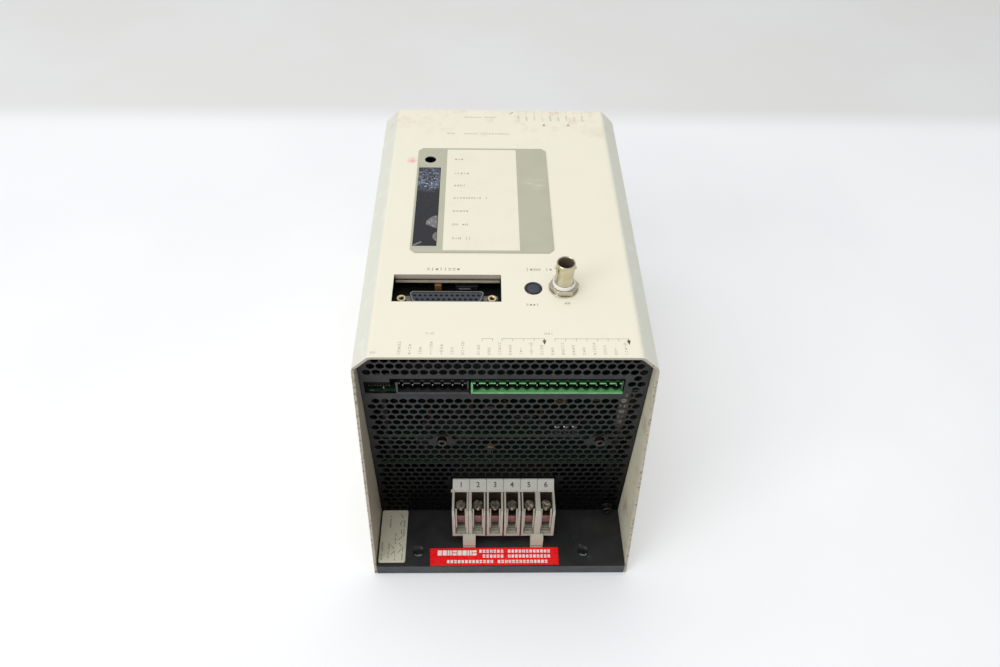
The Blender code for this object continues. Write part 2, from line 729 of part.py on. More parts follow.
def make_power_parts(black, can):
    low = BASE_TOP + GAP
    module = box("power_module", (-62 * MM, -20 * MM, low), (-2 * MM, 22 * MM, low + 24 * MM), black)
    bevelled(module, 1 * MM)
    height = 44 * MM
    profile = [(0, height), (15 * MM, height), (16.5 * MM, height - 1.5 * MM)]
    profile += [(16.5 * MM, 1 * MM), (15.5 * MM, 0), (0, 0)]
    smoothed(turned("bus_capacitor", profile, can, (38 * MM, 10 * MM, low), 28))


# Power terminals


def cell_centre(cell):
    return BLOCK_X + (cell - (CELLS - 1) / 2) * CELL_PITCH


def block_outline():
    """The terminals' side shape, as (y, z): a sloping front and back, and claws that hold the rail."""
    front = BLOCK_Y - BLOCK_HALF_LENGTH
    rail_front = BLOCK_Y - RAIL_HALF_WIDTH
    rail_top = BASE_TOP + GAP + RAIL_HEIGHT
    claw_low = rail_top - 3.2 * MM
    flange_low = rail_top - RAIL_THICKNESS - GAP
    near = [
        (front + BLOCK_SLOPE, BLOCK_TOP),
        (front, BLOCK_LOW),
        (rail_front - 2 * MM, claw_low),
        (rail_front + 1.6 * MM, claw_low),
        (rail_front + 1.6 * MM, flange_low),
        (rail_front - GAP, flange_low),
        (rail_front - GAP, rail_top + GAP),
    ]
    return near + [(2 * BLOCK_Y - y, z) for y, z in reversed(near)]


def channel_mesh(x):
    """The wire channel at the front. It widens and falls towards its mouth, so that a wire slides in."""
    front = BLOCK_Y - BLOCK_HALF_LENGTH - 3 * MM
    back = -116 * MM
    top = BLOCK_TOP + 2 * MM
    sections = (
        (front, CHANNEL_MOUTH / 2 + 0.3 * MM, CHANNEL_FLOOR - 2 * MM),
        (back, CHANNEL_NARROW / 2, CHANNEL_FLOOR),
    )
    work = bmesh.new()
    rings = []
    for y, half, floor in sections:
        wide = CHANNEL_WIDE / 2 + 0.05 * MM
        corners = ((x - half, floor), (x + half, floor), (x + wide, top), (x - wide, top))
        rings.append([work.verts.new((px, y, z)) for px, z in corners])
    work.faces.new(rings[0])
    work.faces.new(rings[1])
    for i in range(4):
        j = (i + 1) % 4
        work.faces.new((rings[0][i], rings[0][j], rings[1][j], rings[1][i]))
    bmesh.ops.triangulate(work, faces=work.faces)
    return mesh_from("channel", work)


def cut_cell(block, cell):
    x = cell_centre(cell)
    wide = CHANNEL_WIDE / 2
    well_low = (x - wide, -117.9 * MM, CHANNEL_FLOOR)
    well = box_cutter(f"well_{cell + 1}", well_low, (x + wide, CHANNEL_BACK, BLOCK_TOP + 2 * MM))
    boolean(block, well)
    boolean(block, add_cutter(f"channel_{cell + 1}", channel_mesh(x)))


def make_terminal_block(name, cells, look, foot_x=None):
    left = cell_centre(cells[0]) - CELL_PITCH / 2 + GAP / 2
    right = cell_centre(cells[-1]) + CELL_PITCH / 2 - GAP / 2
    block = add_object(name, prism_mesh(name, block_outline(), left, right, "X"), look)
    for cell in cells:
        cut_cell(block, cell)
    if foot_x is None:
        middle = (left + right) / 2
        groove_low = (middle - 0.3 * MM, -130 * MM, 0)
        groove_high = (middle + 0.3 * MM, -118.8 * MM, 50 * MM)
        boolean(block, box_cutter(name + "_groove", groove_low, groove_high))
        return block
    foot_low = (foot_x - FOOT_WIDTH / 2, -126.6 * MM, BASE_TOP + GAP)
    foot_high = (foot_x + FOOT_WIDTH / 2, -121.5 * MM, BLOCK_LOW + 1.2 * MM)
    foot = box(name + "_foot", foot_low, foot_high, look)
    joined(block, foot)
    groove_low = (foot_x - FOOT_WIDTH, -130 * MM, BASE_TOP + 2.2 * MM)
    groove_high = (foot_x + FOOT_WIDTH, -126.2 * MM, BASE_TOP + 2.9 * MM)
    boolean(block, box_cutter(name + "_foot_groove", groove_low, groove_high))
    return block


def make_clamp(number, x, look):
    """The saddle that presses on a wire. Its bore clears the screw it hangs on."""
    width, depth, height = CLAMP_SIZE
    low = (x - width / 2, CLAMP_CENTRE_Y - depth / 2, CLAMP_LOW)
    high = (x + width / 2, CLAMP_CENTRE_Y + depth / 2, CLAMP_LOW + height)
    clamp = box(f"wire_clamp_{number}", low, high, look)
    bore = cylinder_mesh("clamp_bore", SCREW_SHANK_RADIUS + 0.3 * MM, 40 * MM, 16)
    boolean(clamp, add_cutter(f"clamp_bore_{number}", bore, (x, SCREW_Y, CLAMP_LOW)))


def make_terminal_screw(number, x, look):
    head = SCREW_HEAD_RADIUS
    shank = SCREW_SHANK_RADIUS
    low = SCREW_HEAD_LOW
    top = SCREW_HEAD_HIGH
    tip = CLAMP_LOW + 1 * MM
    profile = [(0, top), (head - 0.4 * MM, top), (head, top - 0.4 * MM), (head, low)]
    profile += [(shank, low), (shank, tip), (0, tip)]
    screw = turned(f"terminal_screw_{number}", profile, look, (x, SCREW_Y, 0), 20)
    slot = box_mesh("screw_slot", (8 * MM, 0.9 * MM, 2.4 * MM))
    cutter = add_cutter(f"screw_slot_{number}", slot, (x, SCREW_Y, top))
    cutter.rotation_euler = (0, 0, math.radians(25 + 23 * number))
    boolean(screw, cutter)
    smoothed(screw)


def make_rail(look):
    """A top-hat rail across the drive, which holds the terminals."""
    low = BASE_TOP + GAP
    high = low + RAIL_HEIGHT
    wide = RAIL_HALF_WIDTH
    inner = 13.5 * MM
    sheet = RAIL_THICKNESS
    half = [
        (0, low + sheet),
        (inner - sheet, low + sheet),
        (inner - sheet, high),
        (wide, high),
        (wide, high - sheet),
        (inner, high - sheet),
        (inner, low),
        (0, low),
    ]
    outline = [(BLOCK_Y + y, z) for y, z in half] + [(BLOCK_Y - y, z) for y, z in reversed(half[1:-1])]
    reach = CELLS * CELL_PITCH / 2
    add_object("din_rail", prism_mesh("din_rail", outline, BLOCK_X - reach, BLOCK_X + reach, "X"), look)


def make_marker_strip(look):
    """The strip that names the terminals: its face slopes up and back, to be read from above."""
    foot = BLOCK_TOP + GAP
    outline = [(-107.9 * MM, foot), (-107.9 * MM, foot + 0.9 * MM), (-102.8 * MM, 46 * MM)]
    outline += [(-101.9 * MM, 46 * MM), (-101.9 * MM, foot)]
    reach = CELLS * CELL_PITCH / 2 - 0.3 * MM
    mesh = prism_mesh("marker_strip", outline, BLOCK_X - reach, BLOCK_X + reach, "X")
    add_object("marker_strip", mesh, look)


def make_terminals(body_look, metal, zinc):
    boundary = CELL_PITCH / 2
    make_terminal_block("terminal_block_left", (0, 1), body_look, cell_centre(0) + boundary)
    make_terminal_block("terminal_block_middle", (2, 3), body_look)
    make_terminal_block("terminal_block_right", (4, 5), body_look, cell_centre(4) + boundary)
    for cell in range(CELLS):
        make_clamp(cell + 1, cell_centre(cell), metal)
        make_terminal_screw(cell + 1, cell_centre(cell), zinc)
    make_rail(zinc)
    make_marker_strip(body_look)


def main():
    cream = material("cream_paint", (0.83, 0.80, 0.68), 0.45)
    black_paint = material("black_paint", (0.03, 0.03, 0.033), 0.5)
    overlay_film = material("overlay_film", (0.47, 0.46, 0.37), 0.4)
    dark_window = material("dark_window", (0.02, 0.025, 0.035), 0.08)
    nickel = material("nickel", (0.72, 0.69, 0.6), 0.25, 1.0)
    zinc = material("zinc", (0.6, 0.6, 0.58), 0.35, 1.0)
    brass = material("brass", (0.75, 0.6, 0.35), 0.3, 1.0)
    black_screw = material("black_screw", (0.04, 0.04, 0.04), 0.3, 1.0)
    white_plastic = material("white_plastic", (0.85, 0.85, 0.82), 0.4)
    black_plastic = material("black_plastic", (0.02, 0.02, 0.02), 0.4)
    blue_grey_plastic = material("blue_grey_plastic", (0.14, 0.17, 0.2), 0.45)
    green_plastic = material("green_plastic", (0.04, 0.33, 0.1), 0.4)
    beige_plastic = material("beige_plastic", (0.6, 0.57, 0.48), 0.45)
    green_board = material("green_board", (0.03, 0.16, 0.09), 0.4)
    dark_board = material("dark_board", (0.02, 0.06, 0.04), 0.4)
    capacitor_sleeve = material("capacitor_sleeve", (0.03, 0.04, 0.1), 0.35)

    make_cover(cream)
    make_base_plate(black_paint)
    make_front_grille(black_paint)
    make_rear_grille(black_paint)
    make_fasteners(black_screw, zinc)
    make_overlay(overlay_film)
    make_windows(dark_window)
    make_bnc(nickel, white_plastic)
    make_programmer_socket(zinc, blue_grey_plastic, brass)
    make_reset(white_plastic, black_plastic)
    make_boards(green_board, dark_board)
    make_standoffs(zinc)
    make_header("black_header", BLACK_HEADER_FIRST_PIN, BLACK_HEADER_WAYS, -1, black_plastic)
    make_header("green_header", GREEN_HEADER_FIRST_PIN, GREEN_HEADER_WAYS, -1, green_plastic)
    make_header("rear_header", REAR_HEADER_FIRST_PIN, REAR_HEADER_WAYS, 1, green_plastic)
    make_dip_switch(black_plastic, white_plastic)
    make_power_parts(black_plastic, capacitor_sleeve)
    make_terminals(beige_plastic, zinc, zinc)


clear_scene()
parts = new_collection("servo_drive")
cutters = new_collection("cutters")
drive = bpy.data.objects.new("servo_drive_origin", None)
parts.objects.link(drive)
main()
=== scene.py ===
"""The servo drive's looks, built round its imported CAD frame. Shapes are worked out in millimetres."""

import math
import random

import bmesh
import bpy
from mathutils import Matrix, Vector


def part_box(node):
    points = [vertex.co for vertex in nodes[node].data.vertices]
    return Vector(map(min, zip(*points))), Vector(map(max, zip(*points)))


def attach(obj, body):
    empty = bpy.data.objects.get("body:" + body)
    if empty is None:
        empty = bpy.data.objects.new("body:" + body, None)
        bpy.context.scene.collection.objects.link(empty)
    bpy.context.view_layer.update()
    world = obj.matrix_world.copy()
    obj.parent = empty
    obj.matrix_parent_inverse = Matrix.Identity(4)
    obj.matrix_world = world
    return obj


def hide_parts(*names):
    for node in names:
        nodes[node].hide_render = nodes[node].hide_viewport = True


MM = 0.001
ROOT = "chassis"

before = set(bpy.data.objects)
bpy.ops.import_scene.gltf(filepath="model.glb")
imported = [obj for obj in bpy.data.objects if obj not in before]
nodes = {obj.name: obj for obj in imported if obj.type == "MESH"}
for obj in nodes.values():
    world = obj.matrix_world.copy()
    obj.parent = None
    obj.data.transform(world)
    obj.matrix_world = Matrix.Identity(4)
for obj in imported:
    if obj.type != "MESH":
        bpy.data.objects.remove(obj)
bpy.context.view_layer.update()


def box_mm(node):
    """A CAD node's lowest and highest corners, in millimetres."""
    low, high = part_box(node)
    return low / MM, high / MM


def middle(node):
    """The middle of a CAD node's box, in millimetres."""
    low, high = box_mm(node)
    return (low + high) / 2


FACE = box_mm("cover")[1].z
PLATE = box_mm("base_plate")[1].z
MOUNT_HOLE_X, MOUNT_HOLE_Y = 49, 128.7
SLOT_BOTTOM, SLOT_TOP = 125.5, 137.4
HEADER_PITCH = 5.08
FIRST_PIN = {"black_header": -51.9, "green_header": -13.9, "rear_header": 11.9}


# ---- materials


def screen(colour):
    """A colour given as it looks on a screen, 0 to 255, made linear and opaque."""

    def linear(value):
        value /= 255
        return value / 12.92 if value <= 0.04045 else ((value + 0.055) / 1.055) ** 2.4

    return (*map(linear, colour), 1)


class Shader:
    """A Principled material built from procedural textures. Places and sizes are in millimetres."""

    def __init__(self, name, colour, roughness=0.5, metallic=0.0):
        self.material = bpy.data.materials.new(name)
        self.material.use_nodes = True
        self.tree = self.material.node_tree
        self.main = self.tree.nodes["Principled BSDF"]
        self.colour = screen(colour)
        self.give("Base Color", self.colour)
        self.give("Roughness", roughness)
        self.give("Metallic", metallic)
        self.place = self.node("ShaderNodeTexCoord", "Object", {})

    def put(self, socket, value):
        """Links an output to a socket, or sets a plain value on it."""
        if isinstance(value, bpy.types.NodeSocket):
            self.tree.links.new(value, socket)
        else:
            socket.default_value = value

    def give(self, name, value):
        """Sets or links one input of the Principled shader."""
        self.put(self.main.inputs[name], value)

    def node(self, kind, output, inputs, **settings):
        """Adds a node, fills its inputs with values or links, and gives back one of its outputs."""
        made = self.tree.nodes.new(kind)
        for key, value in settings.items():
            setattr(made, key, value)
        for key, value in inputs.items():
            self.put(made.inputs[key], value)
        return made.outputs[output]

    def scaled(self, stretch=(1, 1, 1)):
        """Object coordinates in millimetres, stretched."""
        scale = [s / MM for s in stretch]
        return self.node("ShaderNodeMapping", "Vector", {"Vector": self.place, "Scale": scale})

    def noise(self, size, detail=3.0, rough=0.55, stretch=(1, 1, 1)):
        """Noise whose features are about size millimetres across."""
        inputs = {"Vector": self.scaled(stretch), "Scale": 1 / size, "Detail": detail, "Roughness": rough}
        return self.node("ShaderNodeTexNoise", "Fac", inputs)

    def cells(self, size, randomness, feature="F1", stretch=(1, 1, 1)):
        """Distances in a pattern of cells about size millimetres across."""
        inputs = {"Vector": self.scaled(stretch), "Scale": 1 / size, "Randomness": randomness}
        return self.node("ShaderNodeTexVoronoi", "Distance", inputs, feature=feature)

    def math(self, operation, a, b=0.0):
        return self.node("ShaderNodeMath", "Value", {0: a, 1: b}, operation=operation)

    def remap(self, value, low, high, to_low=0.0, to_high=1.0, kind="SMOOTHSTEP"):
        """Carries low to high onto to_low to to_high."""
        inputs = {"Value": value, "From Min": low, "From Max": high, "To Min": to_low, "To Max": to_high}
        return self.node("ShaderNodeMapRange", "Result", inputs, interpolation_type=kind)

    def patches(self, size, detail, low, high, most=1.0, least=0.0, rough=0.55, stretch=(1, 1, 1)):
        """Cloudy patches: least where the noise is under low, most where it is over high."""
        return self.remap(self.noise(size, detail, rough, stretch), low, high, least, most)

    def axis(self, which):
        """One coordinate in millimetres."""
        return self.node("ShaderNodeSeparateXYZ", which, {0: self.scaled()})

    def facing(self, which, normal="True Normal"):
        """One part of the surface's direction."""
        direction = self.node("ShaderNodeNewGeometry", normal, {})
        return self.node("ShaderNodeSeparateXYZ", which, {0: direction})

    def near(self, point, low, high):
        """1 near a point in millimetres, fading to 0 between low and high away from it."""
        away = self.node("ShaderNodeVectorMath", "Value", {0: self.scaled(), 1: point}, operation="DISTANCE")
        return self.remap(away, low, high, 1.0, 0.0)

    def band(self, value, low, high, soft):
        """1 where value lies between low and high."""
        up = self.remap(value, low - soft, low + soft)
        down = self.remap(value, high - soft, high + soft, 1.0, 0.0)
        return self.both(up, down)

    def both(self, *masks):
        """Where every mask is high: their product."""
        result = masks[0]
        for mask in masks[1:]:
            result = self.math("MULTIPLY", result, mask)
        return result

    def either(self, a, b):
        """Where one mask or the other is high."""
        return self.math("MAXIMUM", a, b)

    def size(self, value):
        return self.math("ABSOLUTE", value)

    def above(self, value, limit):
        return self.math("GREATER_THAN", value, limit)

    def below(self, value, limit):
        return self.math("LESS_THAN", value, limit)

    def tint(self, colour, *masks):
        """Lays a screen colour over what is there, where every mask is high."""
        inputs = {"Factor": self.both(*masks), "A": self.colour, "B": screen(colour)}
        self.colour = self.node("ShaderNodeMix", "Result", inputs, data_type="RGBA")
        self.give("Base Color", self.colour)

    def uneven(self, size, detail, low, high):
        """Roughness that wanders between two values."""
        self.give("Roughness", self.patches(size, detail, 0.3, 0.7, high, low))

    def bump(self, height, strength, distance):
        """Raises the surface by a height map. The distance is in millimetres."""
        inputs = {"Strength": strength, "Distance": distance * MM, "Height": height}
        self.give("Normal", self.node("ShaderNodeBump", "Normal", inputs))


def cover_paint():
    """Cream enamel: yellowed patches, brown dirt by the rear edge, painted shade on the bends and on the cut
    edges, chips worn into the walls' cut edges, and painted shade inside the case and in the reset hole.
    """
    paint = Shader("cover_paint", (236, 232, 212), 0.42)
    x, y, z = (paint.axis(which) for which in "XYZ")
    toward, up = paint.facing("Y"), paint.facing("Z")
    outward = paint.size(x)
    paint.tint((238, 229, 210), paint.patches(60, 3, 0.42, 0.7, 0.4))
    paint.tint((231, 227, 208), paint.patches(24, 4, 0.5, 0.8, 0.3))
    # Painted shade: the bends and chamfers, which tilt away from the overhead light, are greyed. Pale spots
    # lie on them.
    bend = paint.band(paint.facing("Z", "Normal"), 0.3, 0.9, 0.09)
    paint.tint((219, 220, 207), bend, 0.9)
    paint.tint((234, 237, 232), paint.patches(9, 4, 0.5, 0.72), bend, 0.4)

    rear_dirt = paint.both(paint.patches(12, 5, 0.46, 0.75, rough=0.7), paint.remap(y, 62, 106))
    paint.tint((210, 182, 158), rear_dirt, 0.6)
    slanting = paint.math("ADD", x, paint.both(y, -0.9))
    scratch = paint.both(paint.band(slanting, -86.2, -85.4, 0.25), paint.near((7.1, 103.2, FACE), 1.2, 2.4))
    paint.tint((96, 92, 86), scratch, 0.8)
    paint.tint((176, 160, 134), paint.patches(1.6, 2, 0.76, 0.82, 0.4))

    # Painted shade: the sheet's cut faces, which face away from the light, are darkened. The chips on the
    # walls' cut edges are wear.
    cut_edge = paint.above(paint.size(toward), 0.45)
    paint.tint((166, 156, 138), cut_edge, 0.88)
    chips = paint.both(cut_edge, paint.above(outward, 71), paint.patches(1.9, 3, 0.5, 0.62))
    paint.tint((92, 80, 68), chips, 0.7)

    # Painted shade on the inner walls: a little on the right wall, deep on the left wall, which faces away
    # from the light. The scuffs below are wear.
    wall = paint.both(paint.below(outward, 73.6), paint.above(paint.size(paint.facing("X")), 0.9))
    paint.tint((222, 218, 193), wall, paint.above(x, 0.0), 0.9)
    paint.tint((174, 164, 144), wall, paint.below(x, 0.0), 0.95)
    scuffs = paint.patches(8, 5, 0.52, 0.7, 0.5, rough=0.7, stretch=(1, 0.35, 0.35))
    paint.tint((150, 136, 114), scuffs, wall)
    # Painted shade under the top sheet, and near black on the inner walls and underside behind the grilles,
    # inside the case.
    underside = paint.below(up, -0.5)
    paint.tint((120, 116, 104), underside, 0.9)
    behind_grilles = paint.both(paint.below(paint.size(y), 100.4), paint.either(wall, underside))
    paint.tint((64, 62, 56), behind_grilles, 0.94)

    # A greyer band at the top of the programmer opening's far wall, and painted shade lower down, where the
    # wall goes into the opening.
    opening_edge = paint.both(paint.near((-29.6, -49.4, 158), 27, 29), paint.below(toward, -0.5))
    lip = paint.both(opening_edge, paint.remap(z, 159.2, 159.8, 1.0, 0.0))
    paint.tint((206, 199, 182), lip, 0.9)
    paint.tint((126, 114, 96), lip, paint.remap(z, 156.4, 158.2, 0.8, 0.0))
    smudge = paint.patches(2.6, 3, 0.3, 0.65, 0.85, 0.25)
    paint.tint((242, 150, 150), paint.near((-54.2, 51.0, FACE), 0.6, 4.2), smudge)
    reset = middle("reset_button")
    # Painted shade: the walls of the reset hole are near black.
    reset_hole = paint.both(paint.near((reset.x, reset.y, FACE - 0.8), 4.0, 4.3), paint.below(up, 0.5))
    paint.tint((6, 6, 6), reset_hole)
    paint.uneven(20, 4, 0.36, 0.5)
    paint.bump(paint.noise(0.8, 2), 0.12, 0.06)
    return paint.material


def black_sheet(name, colour, dust):
    """Black satin enamel with pale dust, fine texture and rubbed spots."""
    sheet = Shader(name, colour, 0.42)
    sheet.tint((92, 90, 84), sheet.patches(18, 4, 0.45, 0.75, dust))
    sheet.tint((112, 108, 100), sheet.patches(0.9, 2, 0.7, 0.78, 0.3))
    sheet.uneven(12, 4, 0.38, 0.56)
    sheet.bump(sheet.noise(0.5, 2), 0.2, 0.04)
    return sheet


def grille_paint():
    """The vented sheet: dusty near the top, with painted shade that deepens towards the base and painted
    highlights on the hole rims that face up.
    """
    sheet = black_sheet("grille_paint", (40, 40, 42), 0.12)
    z = sheet.axis("Z")
    # Painted shade: darker towards the base, and deeper still near it.
    sheet.tint((10, 10, 10), sheet.remap(z, 20, 160, 0.97, 0.0, "LINEAR"))
    sheet.tint((4, 4, 4), sheet.remap(z, 12, 52, 0.85, 0.0))
    # Painted highlights on the hole rims that face up, stronger higher up.
    rim = sheet.below(sheet.size(sheet.facing("Y")), 0.5)
    up = sheet.remap(sheet.facing("Z"), -0.2, 0.7)
    sheet.tint((90, 90, 92), rim, up, sheet.remap(z, 40, 140, 0.0, 0.3))
    # Weaker specular lower down, along with the painted shade.
    sheet.give("Specular IOR Level", sheet.remap(z, 20, 120, 0.12, 0.36))
    return sheet.material


def base_paint():
    """The base plate's black enamel, with unpainted metal and a painted reflection in each countersink's near
    side, and a rubbed front.
    """
    sheet = black_sheet("base_paint", (22, 23, 25), 0.1)
    toward = sheet.facing("Y")
    sheet.tint((52, 52, 57), sheet.above(sheet.size(toward), 0.8), 0.8)
    # Unpainted metal in each countersink's near side, lit up by a painted reflection.
    bare_metal_glint = 0.0
    for x in (-MOUNT_HOLE_X, MOUNT_HOLE_X):
        for y in (-MOUNT_HOLE_Y, MOUNT_HOLE_Y):
            bare_metal_glint = sheet.either(bare_metal_glint, sheet.near((x, y - 1.6, PLATE - 0.9), 1.9, 2.5))
    sunk = sheet.both(bare_metal_glint, sheet.remap(sheet.axis("Z"), 8.3, 8.42, 1.0, 0.0), sheet.remap(toward, 0.2, 0.6))
    sheet.tint((196, 202, 210), sunk, 0.9)
    sheet.give("Metallic", sheet.both(sunk, 0.25))
    for x, y in ((47.8, -125.6), (45.2, -119.8), (52.8, -133.6), (-51.3, -126.4)):
        sheet.tint((96, 98, 104), sheet.near((x, y, PLATE), 0.3, 2.2), sheet.patches(1.1, 3, 0.48, 0.66), 0.6)
    return sheet.material


def film(name, colour, second):
    """Printed film: faint mottle, a satin skin, and a pale rubbed patch near its far right corner."""
    made = Shader(name, colour, 0.36)
    made.tint(second, made.patches(16, 4, 0.45, 0.75, 0.5))
    made.tint((205, 200, 186), made.patches(2.4, 3, 0.68, 0.8, 0.25))
    streaks = made.patches(4.2, 5, 0.4, 0.66, rough=0.7, stretch=(0.35, 1.2, 1))
    made.tint((214, 217, 206), made.near((18.5, 28.5, FACE + 0.5), 2, 9), streaks, 0.5)
    made.uneven(9, 3, 0.3, 0.42)
    made.bump(made.noise(1.2, 2), 0.1, 0.03)
    return made.material


def smoked_window():
    """Smoked glossy film with dried speckle near its far end and peeled patches at its near corners."""
    glass = Shader("smoked_window", (38, 38, 43), 0.16)
    x, y = glass.axis("X"), glass.axis("Y")
    glass.tint((84, 84, 92), glass.patches(1.3, 4, 0.5, 0.7, 0.5, rough=0.7), 0.2)
    far_end = glass.near((-42.5, 32, FACE), 6, 14)
    glass.tint((98, 112, 134), glass.patches(2.6, 6, 0.46, 0.58, rough=0.85), far_end, 0.8)
    glass.tint((196, 208, 222), glass.patches(1.6, 6, 0.53, 0.6, rough=0.9), far_end, 0.9)
    grains = glass.patches(1.0, 4, 0.6, 0.68, rough=0.85)
    glass.tint((118, 120, 126), grains, glass.near((-42, 12, FACE), 12, 36), 0.55)
    fan_edge = glass.remap(glass.math("ADD", y, glass.both(x, 0.6)), -35.4, -34.6)
    fan = glass.both(glass.near((-36.2, -8.5, FACE), 6.4, 7.0), fan_edge)
    torn = glass.either(fan, glass.near((-34.4, -19.5, FACE), 4.2, 4.8))
    glass.tint((108, 107, 106), torn)
    glass.tint((158, 158, 158), torn, glass.patches(1.5, 4, 0.5, 0.62, rough=0.7, stretch=(1.6, 0.5, 1)))
    ray = glass.band(glass.math("ADD", y, glass.both(x, -0.7)), 6.6, 8.0, 0.3)
    glass.tint((128, 127, 126), ray, glass.near((-47.0, -25.4, FACE), 2.2, 3.0), 0.9)
    glass.give("Roughness", glass.remap(torn, 0.0, 1.0, 0.16, 0.6))
    glass.bump(glass.noise(5, 4), 0.35, 0.12)
    return glass.material


def metal(name, colour, roughness, brushed, stain, dark):
    """Brushed metal with dark stains."""
    made = Shader(name, colour, roughness, 1.0)
    made.tint(dark, made.patches(3, 4, 0.5, 0.78, stain, rough=0.65))
    made.uneven(1.5, 4, roughness - 0.07, roughness + 0.12)
    made.bump(made.noise(0.5, 3, 0.6, (1, 1, 0.15)), brushed, 0.03)
    return made.material


def plastic(name, colour, second, roughness=0.45, speck=0.2):
    """Moulded plastic that drifts towards a second colour, with pale specks."""
    made = Shader(name, colour, roughness)
    made.tint(second, made.patches(7, 4, 0.4, 0.75, 0.5))
    made.tint((150, 144, 130), made.patches(0.8, 2, 0.68, 0.78, speck))
    made.uneven(3, 3, roughness - 0.08, roughness + 0.08)
    made.bump(made.noise(0.45, 2), 0.15, 0.03)
    return made.material


def board(name, colour, track, edge):
    """Solder mask over copper tracks, with dust."""
    made = Shader(name, colour, 0.4)
    lines = made.below(made.cells(3.2, 0.35, "DISTANCE_TO_EDGE", (1, 0.6, 1)), 0.12)
    made.tint(track, lines, 0.7)
    pads = made.below(made.cells(2.54, 0.0), 0.2)
    made.tint((96, 96, 84), pads, made.patches(9, 2, 0.5, 0.56))
    made.tint((54, 58, 48), made.patches(5, 4, 0.5, 0.8, 0.3))
    made.tint(edge, made.below(made.size(made.facing("Z")), 0.5), 0.8)
    made.bump(lines, 0.3, 0.04)
    return made.material


def header_plastic(name, colour, shade, lip, first_pin):
    """Header plastic with painted shade inside the housing, painted light on its front lips, and painted
    light on its floor between the pins.
    """
    made = Shader(name, colour, 0.36)
    x, z = made.axis("X"), made.axis("Z")
    reach = made.size(made.axis("Y"))
    made.tint(shade, made.patches(5, 4, 0.4, 0.75, 0.4))
    # Painted shade inside the housing, deepening away from its mouth.
    made.tint(shade, made.remap(reach, 99.6, 101.4, 0.95, 0.0))
    # Painted light on the floor near the mouth, with painted pin shadows as scallops between the pins.
    scallop = made.math("COSINE", made.both(made.math("SUBTRACT", x, first_pin), 2 * math.pi / HEADER_PITCH))
    edge = made.math("SUBTRACT", reach, made.both(scallop, 0.75))
    floor = made.both(made.above(made.facing("Z"), 0.5), made.below(z, 129))
    made.tint(lip, floor, made.remap(edge, 98.4, 100.2), made.patches(1.4, 3, 0.3, 0.7, 1.0, 0.65))
    # Painted light on the front faces of the lips.
    front = made.both(made.above(made.size(made.facing("Y")), 0.6), made.above(reach, 101.3))
    made.tint(lip, front, made.patches(2.2, 3, 0.3, 0.7, 0.95, 0.5))
    made.uneven(3, 3, 0.3, 0.46)
    made.bump(made.noise(0.5, 2), 0.12, 0.03)
    return made.material


def terminal_plastic():
    """Moulded polyamide with painted shade deep in the channels, grey-green on their floors and clean on the
    rims, a painted reflection of the red label low on its front, and painted shade in the foot grooves and
    behind the grille.
    """
    made = Shader("terminal_polyamide", (186, 181, 167), 0.42)
    y, z = made.axis("Y"), made.axis("Z")
    side = made.above(made.size(made.facing("X")), 0.5)
    made.tint((172, 163, 150), made.patches(7, 4, 0.4, 0.75, 0.5))
    made.tint((150, 140, 126), made.patches(0.8, 2, 0.68, 0.78, 0.15))
    # Painted shade deep in the wells under the marker strip, lighter on their side walls, which also darken a
    # little further in.
    under_top = made.remap(z, 39.2, 40.0, 1.0, 0.0)
    inward = made.both(made.remap(y, -116.5, -112.5), under_top)
    made.tint((64, 62, 48), inward, made.math("SUBTRACT", 1.0, side), 0.93)
    made.tint((92, 84, 68), inward, side, 0.72)
    made.tint((142, 138, 124), side, made.remap(y, -122, -117, 0.0, 0.35), under_top)
    floor = made.both(made.above(made.facing("Z"), 0.5), made.below(z, 21), made.above(y, -123.2))
    made.tint((120, 122, 108), floor, 0.85)
    made.tint((78, 74, 62), floor, made.patches(1.6, 4, 0.45, 0.65), 0.6)
    # A painted reflection of the red label on the lower faces that face the front.
    front = made.remap(made.facing("Y"), -0.9, -0.5, 0.25, 0.0)
    made.tint((170, 130, 122), front, made.below(z, 36))
    made.tint((188, 184, 168), made.below(y, -123.6), 0.7)
    across = made.math("SUBTRACT", made.axis("X"), middle("marker_strip").x)
    reach = made.size(across)
    seams = made.either(made.below(reach, 0.42), made.band(reach, 9.7, 10.7, 0.1))
    seams = made.either(seams, made.both(made.band(across, -20.65, -20.15, 0.1), 0.7))
    outside = made.both(made.below(y, -106), made.above(y, -123.5), made.above(z, 17.6))
    made.tint((40, 33, 30), seams, outside, 0.9)
    # Painted shade in the foot groove.
    foot_groove = made.both(made.band(z, 10.7, 11.4, 0.08), made.below(y, -126.0))
    made.tint((44, 32, 26), foot_groove, 0.9)
    # Painted shade behind the grille.
    made.tint((9, 8, 8), made.remap(y, -101.6, -100.8), 0.95)
    made.bump(made.noise(0.6, 2), 0.12, 0.03)
    return made.material


def pillar_metal():
    """The board pillars' dull steel, with painted shade low down and on the left-hand pillars, so that it
    shows light only high up on the right.
    """
    made = Shader("pillar_steel", (176, 166, 156), 0.4, 0.55)
    made.tint((52, 46, 42), made.patches(3, 4, 0.45, 0.7, 0.7))
    # Painted shade: darker low down, and on the pillars at the left.
    made.tint((8, 8, 8), made.remap(made.axis("Z"), 84, 104, 0.96, 0.0))
    made.tint((8, 8, 8), made.below(made.axis("X"), 0.0), 0.96)
    made.bump(made.noise(0.8, 3), 0.2, 0.04)
    return made.material


